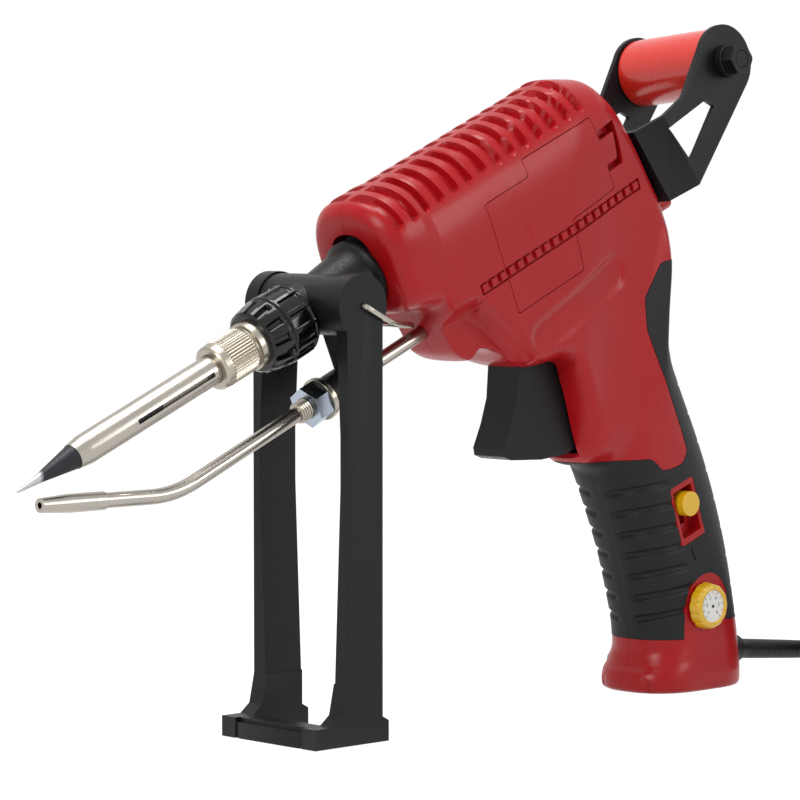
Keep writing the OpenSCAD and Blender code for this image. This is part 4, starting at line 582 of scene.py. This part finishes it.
def drawn_in(outline, d):
    """An outline drawn in by a distance, each corner along its own bisector."""
    p = np.asarray(outline, float)
    n, m = [np.stack([-v[:, 1], v[:, 0]], 1) / np.linalg.norm(v, axis=1)[:, None]
            for v in (p - np.roll(p, 1, 0), np.roll(p, -1, 0) - p)]
    area = 0.5 * np.sum(p[:, 0] * np.roll(p[:, 1], -1) - np.roll(p[:, 0], -1) * p[:, 1])
    return p + np.sign(area) * d * (n + m) / (1 + np.sum(n * m, 1))[:, None]


def along_barrel(outline):
    """An outline in barrel lines turned to level ones."""
    outline = np.asarray(outline, float)
    return stance(outline[:, 0], outline[:, 1])


# Its edge colour is a painted highlight: sharp edges are blended towards a lighter red.
red_abs = surface("moulded_red_abs", "#A80E15", 0.33, grain=0.4, depth=0.006, tint=0.04, coat=0.06,
                  edge_highlight="#BC1C22", specular=0.26)
barrel_way = np.array([math.cos(tilt), 0, math.sin(tilt)])
ACROSS = (0, 1, 0)
SEAM_Y, IN_Y, OUT_Y, FAR_Y = -2, 3, 40, 50  # cutters start past the seam or in a wall, and end outside
FINE = ((520, 170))  # rows and columns of what is seen
FAIR, COARSE = (220, 100), (160, 90)  # and of surfaces that only cut
rubber_t, hollow_t, shell_smooth = 1.6, 2.4, 32


def block(name, outline, radius, y0=IN_Y, left=True, y1=OUT_Y):
    """A cutter through the side from a y outwards: a prism with rounded corners."""
    return raw(name, *prism(round_corners(outline, radius), y0, y1), left)


def inner(name, inward, grid, left=True):
    """The smooth housing drawn in by a distance, carried on past the seam, as a cutter."""
    return raw(name, *loft(inward, *grid, False, past_seam=SEAM_Y), left)


def cleared(spent):
    """Removes objects that have done their work."""
    for made in spent:
        bpy.data.objects.remove(made)


def zone_band(left, slack):
    """The rubber's place: its outline, less the dial's arch, the panel under it and the switch's plate on the
    left, outside a loft drawn in by the rubber's thickness."""
    band = block("zone", drawn_in(rubber_zone, -slack), 1.2, -1, left)
    cuts = [inner("zone_inner", rubber_t, COARSE, left)]
    if left:
        past = panel_x + 60
        panel = [(panel_x, 0), (past, 0), (past, panel_z), (arch_at[0], panel_z), arch_at,
                 (panel_x, arch_at[1])]
        plate = turned_outline(switch_at, *switch_plate, switch_turn)
        cuts += [raw("arch", *rod((arch_at[0], SEAM_Y, arch_at[1]), ACROSS, FAR_Y, arch_r), left),
                 block("panel", panel, 2.5, SEAM_Y, left, FAR_Y),
                 block("plate", plate, 1.4, SEAM_Y, left, FAR_Y)]
    return carved(band, cuts=cuts), cuts


def ribbed_channel(left):
    """The ribbed strip's channel as a cutter: a long shallow slot in the side, its squares left standing."""
    pitch = (strip_to - strip_from) / square_count
    slot = box_corners(strip_from, strip_to, strip_at - strip_half, strip_at + strip_half)
    cutter = block("channel", along_barrel(slot), 0.6, IN_Y, left)
    kept = [inner("channel_floor", strip_depth, (260, 110), left)]
    points, faces = [], []
    for k in range(square_count):
        u = strip_from + (k + 0.5) * pitch
        square = box_corners(u - square_half, u + square_half, strip_at - square_half, strip_at + square_half)
        p, f = prism(along_barrel(square), IN_Y - 1, OUT_Y + 1)
        faces += [[i + len(points) for i in face] for face in f]
        points += p.tolist()
    kept.append(raw("squares", points, faces, left))
    return carved(cutter, cuts=kept), kept


neck_l, neck_r = 30, 8.55
guide_w, guide_hole_r, inlet_at, inlet_hole_r = -23.7, 2.1, (112, -30.3), 2.95
relief_up, relief_hole_r = 0.98, 3.0
pocket_half, screw_floor, screw_hole_r = 6.6, 9, 2.75
screw_places = ([stance(u, w) for u, w in ((27.9, 12), (107.98, 9), (111.1, -42), (41.94, -12.4))]
                + [(grip_front + 0.2 * grip_l, 0.07 * grip_h), (grip_front - 0.2 * grip_l, 0.75 * grip_h)])
for side, left in (("left", True), ("right", False)):
    shell = raw(side + "_housing", *loft(0, *FINE), left)
    hollow = inner("hollow", hollow_t, COARSE, left)
    band, spare = zone_band(left, 0.06)
    ribbed, kept = ribbed_channel(left)
    cuts = [hollow, band, raw("pocket", *prism(pocket, SEAM_Y, pocket_half), left),
            raw("neck", *rod((0, 0, pivot_h), barrel_way, neck_l, neck_r, 96), left),
            raw("guide", *rod(np.insert(stance(20, guide_w), 1, 0), barrel_way, 40, guide_hole_r), left),
            raw("inlet", *rod(np.insert(stance(*inlet_at), 1, 0), barrel_way, 20, inlet_hole_r), left),
            raw("relief", *rod((tail_x - 10, 0, relief_z + relief_up), relief_way, 20, relief_hole_r), left),
            ribbed]
    spare += kept
    if left:
        hole = turned_outline(switch_at, *switch_hole, switch_turn)
        cuts += [raw("cover_ledge", *prism(along_barrel(drawn_in(cover_uw, 1.5)), IN_Y, OUT_Y), left),
                 raw("dial_hole", *rod((dial_at[0], 0, dial_at[1]), ACROSS, 40, dial_hole_r), left),
                 block("switch_hole", hole, 1, 0, left)]
        for name, outline, radius, inward, grid in (("cover_recess", cover_uw, 0.9, 1.2, FAIR),
                                                    ("latch_hole", latch_pocket_uw, 0.5, 2.3, COARSE)):
            recess = block(name, along_barrel(outline), radius, IN_Y, left)
            spare.append(inner(name + "_floor", inward, grid, left))
            cuts.append(carved(recess, cuts=spare[-1:]))
    else:
        cuts += [raw("screw_hole", *rod((x, screw_floor, z), ACROSS, 30, screw_hole_r), left)
                 for x, z in screw_places]
    carved(shell, cuts=cuts)
    dress(shell, "gun", red_abs, [side + "_shell"], shell_smooth)
    cleared(cuts + spare)


# Grip covers: two soft skins over the grip, with a dark seam down the front.
# Moulded thermoplastic rubber, matt and near black, with shallow grooves across the finger side.
# Its edge colour is a painted highlight: sharp edges are blended towards a lighter grey-black.
rubber = surface("moulded_soft_rubber", "#161718", 0.5, grain=0.3, depth=0.02, tint=0.08, edge_highlight="#232426",
                 specular=0.22)
for side, left in (("left", True), ("right", False)):
    skin = raw(side + "_grip_cover", *loft(0, *FINE, detail=False, proud=0.12, grooves=True), left)
    band, spare = zone_band(left, -0.06)
    carved(skin, within=[band])
    dress(skin, "gun", rubber, [side + "_grip_rubber"], shell_smooth)
    cleared([band] + spare)


# Arrow on the left grip cover, between the switch and the dial: a small triangle that points at the dial.
# Raised 0.3 mm in the same rubber.
arrow = raw("grip_arrow", *loft(0, 300, 110, detail=False, proud=0.42), True)
arrow_zone = block("arrow_zone", [(133.6, 41.6), (137.6, 41.6), (136.2, 37.8)], 0.4)
arrow_floor = inner("arrow_floor", 0.6, COARSE)
carved(arrow, within=[arrow_zone], cuts=[arrow_floor])
dress(arrow, "gun", rubber)
cleared([arrow_zone, arrow_floor])


# Feed cover: a clip-on panel on the left side that bridges the ribbed strip, with a latch bar in its pocket.
# The same red ABS as the shells, moulded to the same curve, let in flush with a fine gap all round.
lid = raw("feed_panel", *loft(0, *FINE), True)
lid_zone = block("lid_zone", along_barrel(drawn_in(cover_uw, 0.24)), 0.8)
lid_floor = inner("lid_floor", 1.05, FAIR)
ribbed, kept = ribbed_channel(True)
carved(lid, within=[lid_zone], cuts=[lid_floor, ribbed])
latch = raw("latch_bar", *loft(0.15, 300, 110, False), True)
latch_zone = block("latch_zone", along_barrel(latch_uw + [0.3, 0]), 0.8)
latch_floor = inner("latch_floor", 1.3, COARSE)
carved(latch, within=[latch_zone], cuts=[latch_floor])
dress(lid, "cover", red_abs, ["feed_cover"], shell_smooth)
dress(latch, "cover", red_abs, (), shell_smooth)
cleared([lid_zone, lid_floor, latch_zone, latch_floor, ribbed, *kept])


# Nose block with its hinge tube, the folding stand and the trigger.
# Glass-filled nylon, moulded with a fine spark-eroded grain and near black.
# Its edge colour is a painted highlight: sharp edges are blended towards a lighter grey-black.
nylon = surface("moulded_black_nylon", "#121214", 0.42, grain=0.4, depth=0.03, tint=0.1, rough_spread=0.1,
                edge_highlight="#242426", specular=0.2)
softened("front_boss", "nose_block", 0.35, nylon, "gun", 3)
softened("stand", "folding_stand", 0.6, nylon, "stand", 3)
softened("trigger", "feed_trigger", 0.5, nylon, "trigger", 3)


# Heater collar: a clamp ring with fins round its nose, a plain band and flutes behind.
# Glossy black phenolic, moulded and not touched after.
def revolved(profile, sides, depth=None):
    """A profile of distance along the barrel and radius, carried round it; depth(u, angle) is taken off the
    radius."""
    profile = np.asarray(profile, float)
    angle = np.arange(sides) * 2 * np.pi / sides
    u = np.repeat(profile[:, :1], sides, 1)
    r = np.repeat(profile[:, 1:], sides, 1)
    if depth is not None:
        r = r - depth(u, angle[None, :] + 0 * u)
    y, w = r * np.cos(angle), r * np.sin(angle)
    level = stance(u, w)
    points = np.stack([level[..., 0], y, level[..., 1]], -1).reshape(-1, 3)
    return points, grid_faces(len(profile), sides, round_rows=True, round_columns=True)


def filled(corners, gap=0.25):
    """A closed profile with points added along its straight stretches, for cuts to bend."""
    corners = np.asarray(corners, float)
    out = []
    for a, b in zip(corners, np.roll(corners, -1, 0)):
        n = max(1, int(np.linalg.norm(b - a) / gap))
        out += [a + (b - a) * i / n for i in range(n)]
    return out


phenolic = surface("glossy_black_phenolic", "#0B0B0D", 0.12, grain=0.8, depth=0.004, tint=0.1, coat=0.15,
                   specular=0.3)
steel = surface("drawn_stainless_steel", "#A9A39A", 0.27, metallic=1, grain=6, depth=0.004, tint=0.05,
                rough_spread=0.03)
zinc = surface("bright_zinc_plate", "#A3ADBA", 0.26, metallic=1, grain=5, depth=0.005, tint=0.06)
lugs, knurls, thread_pitch, thread_depth = 12, 44, 0.8, 0.3


def collar_cut(u, angle):
    """Slots between tapered fins in front, a plain band, and as many wide flutes behind it."""
    beat = np.abs(((angle * lugs / (2 * np.pi)) % 1) - 0.5) * 2
    front = step(u, -23.9, -23.2) * (1 - step(u, -19.0, -18.4))
    rear = step(u, -16.6, -16.0) * (1 - step(u, -9.8, -9.2))
    return 1.3 * front * step(beat, 0.55, 0.72) + 0.75 * rear * (1 - step(beat, 0.70, 0.84)) \
        + 0.5 * step(-np.abs(u + 17.5), -0.5, -0.1)


piece("heater_collar", *revolved(filled([
    (-30.7, 3.55), (-30.7, 5.15), (-24.4, 5.15), (-24.25, 7.9), (-23.6, 8.7), (-21, 9.35), (-18.6, 9.7),
    (-16, 10), (-12, 10), (-9.4, 9.9), (-8.6, 9.4), (-8.25, 8.6), (-8.25, 6), (1.7, 6), (1.7, 3.55)]),
    288, collar_cut),
    "gun", phenolic, "black_gloss", ["collar"], 25)


# Barrel nut and sleeve: a knurled nut holds the slotted sleeve over the heater.
# The nut is turned and nickel plated; the sleeve is drawn stainless tube with a rolled mouth.
def knurl_cut(u, angle):
    """Straight flutes, 0.4 mm deep, on the nut's middle."""
    ridge = 0.5 + 0.5 * np.cos(knurls * angle)
    return 0.42 * (1 - ridge ** 0.7) * step(u, -36.9, -36.5) * (1 - step(u, -28.1, -27.7))


piece("knurled_ring", *revolved(filled([
    (-39.45, 4.1), (-39.45, 5.5), (-38.9, 6.05), (-37.3, 6.2), (-36.8, 6.25), (-28.0, 6.25), (-27.5, 5.85),
    (-26.7, 5.85), (-26.6, 6.6), (-24.35, 6.7), (-24.3, 5.25), (-36.2, 5.2), (-36.9, 4.1)]), 352, knurl_cut),
    "gun", nickel, "nickel", ["knurled_nut"], 40)
softened("heater_sleeve", "slotted_sleeve", 0.12, steel)


# Tip: a copper core plated with iron, screwed on to the heater.
# It is blued black by heat along its cone and bright where solder has wetted the point.
tip_black = surface("oxidised_iron_plate", "#26262A", 0.45, metallic=0.6, grain=0.5, depth=0.02, tint=0.2)
tree = tip_black.node_tree
at = add(tree, "ShaderNodeTexCoord").outputs["Object"]
level_x = add(tree, "ShaderNodeSeparateXYZ", [("Vector", at)]).outputs["X"]
tip_x = (stance(-108.1, 0)[0] - ORIGIN_X) * MM
wetted = add(tree, "ShaderNodeMapRange", [("Value", level_x), ("From Min", tip_x + 6.2 * MM),
                                          ("From Max", tip_x + 7.4 * MM), ("To Min", 1), ("To Max", 0)])
base = tree.nodes["Principled BSDF"].inputs["Base Color"]
tree.links.new(blended(tree, wetted.outputs["Result"], base.links[0].from_socket, linear("#B8B8BC")), base)
softened("soldering_tip", "iron_clad_tip", 0.1, tip_black)


# Solder guide: a bent stainless tube with its nozzle, in a threaded bush with a lock washer and nut.
# The bush and washer are nickel plated and the nut zinc plated. The stand's bent steel wire comes last.
softened("guide_tube", "solder_guide", 0.05, steel)
softened("guide_nozzle", "guide_mouth", 0.2, steel)


def thread_cut(u, angle):
    """One helical thread over the bush's front."""
    wave = 0.5 + 0.5 * np.cos(2 * np.pi * u / thread_pitch + angle)
    return thread_depth * wave * (1 - step(u, -12.6, -12.2))


across_barrel = np.array([-math.sin(tilt), 0, math.cos(tilt)])
bush_profile = filled([(-17.8, 2.08), (-17.8, 2.6), (-17.4, 2.95), (8.5, 2.95), (8.5, 2.08)], 0.1)
bush_points, bush_faces = revolved(bush_profile, 64, thread_cut)
piece("threaded_bush", bush_points + guide_w * across_barrel, bush_faces, "gun", nickel, "nickel",
      ["guide_bush"])
softened("guide_nut", "hexagon_nut", 0.25, zinc, "gun", 3)
softened("lock_washer", "tooth_washer", 0.15, nickel)
wire = softened("stand_wire", "hinge_wire", 0.05, steel)
wire_bend = wire.modifiers.new("smooth", "SUBSURF")
wire_bend.levels = wire_bend.render_levels = 2
wire.modifiers.remove(wire.modifiers["rounded_edges"])


# Controls: temperature dial with its printed face, and the slide switch in its red bezel.
# Glossy yellow ABS, moulded; the face is a printed paper-white disc of plain numbers and ticks.
yellow = surface("glossy_yellow_abs", "#E2B20E", 0.24, grain=0.8, depth=0.01, tint=0.05, coat=0.3)
dial_base, dial_top, dial_r, dial_lobes, grip_r = -14.3, -17.7, 6.85, 6, 5.2
dial_from, tick_turn, number_turn = 225, 27, 54
tick_span, tick_half, number_r, number_size = (3.6, 4.4), 0.09, 2.6, 1.5


def about_dial(r, y, angle):
    """Points round the dial's axis, which runs across the grip."""
    return np.stack([dial_at[0] + r * np.cos(angle), y + 0 * angle, dial_at[1] + r * np.sin(angle)], -1)


def dial_disc(name, y, length, radius, sides, finish):
    """A round piece on the dial's axis, from a y inwards."""
    piece(name, *rod((dial_at[0], y, dial_at[1]), ACROSS, length, radius, sides), "dial", finish, "yellow")


angle = np.arange(240) * 2 * np.pi / 240
lobe = 0.28 * (1 - np.abs(np.cos(dial_lobes * angle)) ** 0.6)
dial_profile = [(0.0, dial_top + 0.5), (4.7, dial_top + 0.5), (4.75, dial_top + 0.1), (4.95, dial_top),
                (5.6, dial_top + 0.02), (6.1, dial_top + 0.25), (6.4, dial_top + 0.7), (6.8, dial_base - 0.5),
                (dial_r, dial_base - 0.1), (6.7, dial_base), (0.0, dial_base)]
dial_points = np.concatenate([about_dial(r - lobe * (r > grip_r) * (r / dial_r), y, angle)
                              for r, y in dial_profile])
piece("dial_knob", dial_points, grid_faces(len(dial_profile), len(angle), round_columns=True), "dial", yellow,
      "yellow", ["temperature_dial"], 40)
dial_disc("dial_stem", dial_base + 0.1, 9.9, 3.0, 48, yellow)
paper = surface("printed_white_card", "#E9E9E6", 0.45, grain=0.3, depth=0.004, tint=0.02)
dial_disc("dial_face", dial_top + 0.38, 0.14, 4.65, 96, paper)
green_ink, red_ink, dark_ink = [surface(name, colour, 0.5, grain=0.3, depth=0.002) for name, colour in (
    ("green_print", "#2E7D57"), ("red_print", "#C0505A"), ("black_print", "#2C2C2E"))]
for k in range(11):
    a = math.radians(dial_from - tick_turn * k)
    c, s = math.cos(a), math.sin(a)
    corners = [(dial_at[0] + r * c - t * s, dial_at[1] + r * s + t * c)
               for r, t in box_corners(*tick_span, -tick_half, tick_half)]
    piece("dial_tick_%d" % k, *prism(corners, dial_top + 0.33, dial_top + 0.4), "dial",
          green_ink if k < 5 else red_ink, "yellow")
for k, number in enumerate("123456"):
    words = bpy.data.curves.new("number", "FONT")
    words.body, words.size, words.extrude, words.resolution_u = number, number_size * MM, 0.02 * MM, 2
    words.align_x = words.align_y = "CENTER"
    text = placed("dial_number_" + number, words)
    a = math.radians(dial_from - number_turn * k)
    text.location = ((dial_at[0] + number_r * math.cos(a) - ORIGIN_X) * MM, (dial_top + 0.36) * MM,
                     (dial_at[1] + number_r * math.sin(a)) * MM)
    text.rotation_euler = (math.pi / 2, 0, 0)
    bpy.context.view_layer.update()
    mesh = bpy.data.meshes.new_from_object(text)
    mesh.transform(text.matrix_world)
    cleared([text])
    dress(placed("dial_number_" + number, mesh), "dial", dark_ink)
dial_disc("dial_centre", dial_top + 0.3, 0.1, 0.5, 24, dark_ink)

softened("power_switch", "switch_bezel", 0.3, red_abs)
softened("power_button", "switch_button", 0.6, yellow, "button", 3)


# Wire-spool carrier: a folded steel bracket, its roller, and the roller's bolt, spacers and nut.
# Powder-coated sheet; the roller is turned from red acetal and left glossy, the rest is black nylon.
# Its edge colour is a painted highlight: sharp edges are blended towards a lighter grey-black.
powder = surface("black_powder_coat", "#101012", 0.42, grain=0.5, depth=0.03, tint=0.1, rough_spread=0.08,
                 edge_highlight="#202023", specular=0.2)
acetal = surface("turned_red_acetal", "#D62A1C", 0.26, grain=0.6, depth=0.004, tint=0.05, coat=0.3)
softened("spool_bracket", "spool_carrier", 0.35, powder)
softened("spool_roller", "red_roller", 0.5, acetal, "roller", 3)
softened("axle_bolt", "roller_bolt", 0.3, nylon)
softened("axle_nut", "roller_nut", 0.25, nylon, "gun", 3)
softened("axle_spacers", "roller_spacers", 0.3, nylon, "gun", 3)
softened("bracket_screw", "carrier_screw", 0.2, zinc)
softened("solder_inlet", "wire_inlet", 0.5, red_abs, "gun", 3)


# Inside: the feed train, springs, board and leads, which show only with the cover off.
# Steel, brass, ceramic and plastic, each on the CAD's own mesh.
brass = surface("turned_brass", "#B9913F", 0.3, metallic=1, grain=0.5, depth=0.01)
ceramic = surface("alumina_ceramic", "#E6E0D2", 0.6, grain=0.3, depth=0.02)
ptfe = surface("white_ptfe", "#E8E8E4", 0.4, grain=0.5, depth=0.005)
board_green = surface("green_solder_resist", "#1E5A34", 0.3, grain=0.9, depth=0.01, coat=0.3)
dark_nylon = surface("dark_moulded_nylon", "#2B2D30", 0.5, grain=0.4, depth=0.02)
for node, finish in {
        "housing_screws": zinc, "frame_screws": zinc, "heater_core": ceramic, "trigger_pin": steel,
        "trigger_spring": steel, "feed_frame": steel, "drive_axle": steel, "drive_wheel": brass,
        "pinch_arm": steel, "pinch_wheel": steel, "pinch_spring": steel, "solder_liner": ptfe,
        "circuit_board": board_green, "dial_pot": dark_nylon, "inner_leads": pvc,
        "cord_clamp": dark_nylon}.items():
    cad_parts[node].data.materials.clear()
    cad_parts[node].data.materials.append(finish)


# Studio: a white floor and a white world, with three soft lamps.
# The camera sees floor and world brighter than they light the tool, so that its blacks stay black.
floor_seen, floor_glow, world_lift, sink = 0.66, 1.42, 0.22, 0.2


def seen_rays(tree):
    """1 for a ray from the camera, straight, mirrored or through glass, and 0 for one that only lights."""
    path = add(tree, "ShaderNodeLightPath").outputs
    seen = path["Is Camera Ray"]
    for kind in ("Is Glossy Ray", "Is Transmission Ray"):
        either = add(tree, "ShaderNodeMath", [(0, seen), (1, path[kind])], operation="ADD", use_clamp=True)
        seen = either.outputs[0]
    return seen


floor_mesh = bpy.data.meshes.new("floor")
floor_mesh.from_pydata([(-6, -6, 0), (6, -6, 0), (6, 6, 0), (-6, 6, 0)], [], [(0, 1, 2, 3)])
floor = placed("floor", floor_mesh)
floor.location.z = -sink * MM
paper_white = bpy.data.materials.new("white_sweep")
paper_white.use_nodes = True
tree = paper_white.node_tree
tree.nodes.clear()
seen = seen_rays(tree)
lit = add(tree, "ShaderNodeBsdfDiffuse", [("Color", (0.85, 0.85, 0.85, 1))]).outputs[0]
white = add(tree, "ShaderNodeEmission", [("Color", (1, 1, 1, 1)), ("Strength", floor_glow)]).outputs[0]
share = add(tree, "ShaderNodeMath", [(0, seen), (1, floor_seen)], operation="MULTIPLY").outputs[0]
blend_white = add(tree, "ShaderNodeMixShader", [(0, share), (1, lit), (2, white)]).outputs[0]
add(tree, "ShaderNodeOutputMaterial", [("Surface", blend_white)])
floor_mesh.materials.append(paper_white)

world = bpy.data.worlds.new("studio")
scene.world = world
world.use_nodes = True
tree = world.node_tree
tree.nodes.clear()
level = add(tree, "ShaderNodeMapRange",
            [("Value", seen_rays(tree)), ("To Min", world_lift), ("To Max", 1.0)]).outputs["Result"]
sky = add(tree, "ShaderNodeBackground", [("Color", (1, 1, 1, 1)), ("Strength", level)]).outputs[0]
add(tree, "ShaderNodeOutputWorld", [("Surface", sky)])


def lamp(name, at, aim, size, power):
    """A square soft lamp that faces a point."""
    light = bpy.data.lights.new(name, "AREA")
    light.size, light.energy = size, power
    made = placed(name, light)
    made.location = at
    made.rotation_euler = (Vector(aim) - Vector(at)).to_track_quat("-Z", "Y").to_euler()


tool_middle = (0.0, 0, 0.1)
lamp("top_box", (-0.1, 0.05, 0.95), tool_middle, size=0.5, power=6.5)
lamp("left_box", (-0.95, -0.35, 0.5), tool_middle, size=0.4, power=4.2)
lamp("right_box", (0.5, -0.9, 0.45), tool_middle, size=0.4, power=2.6)
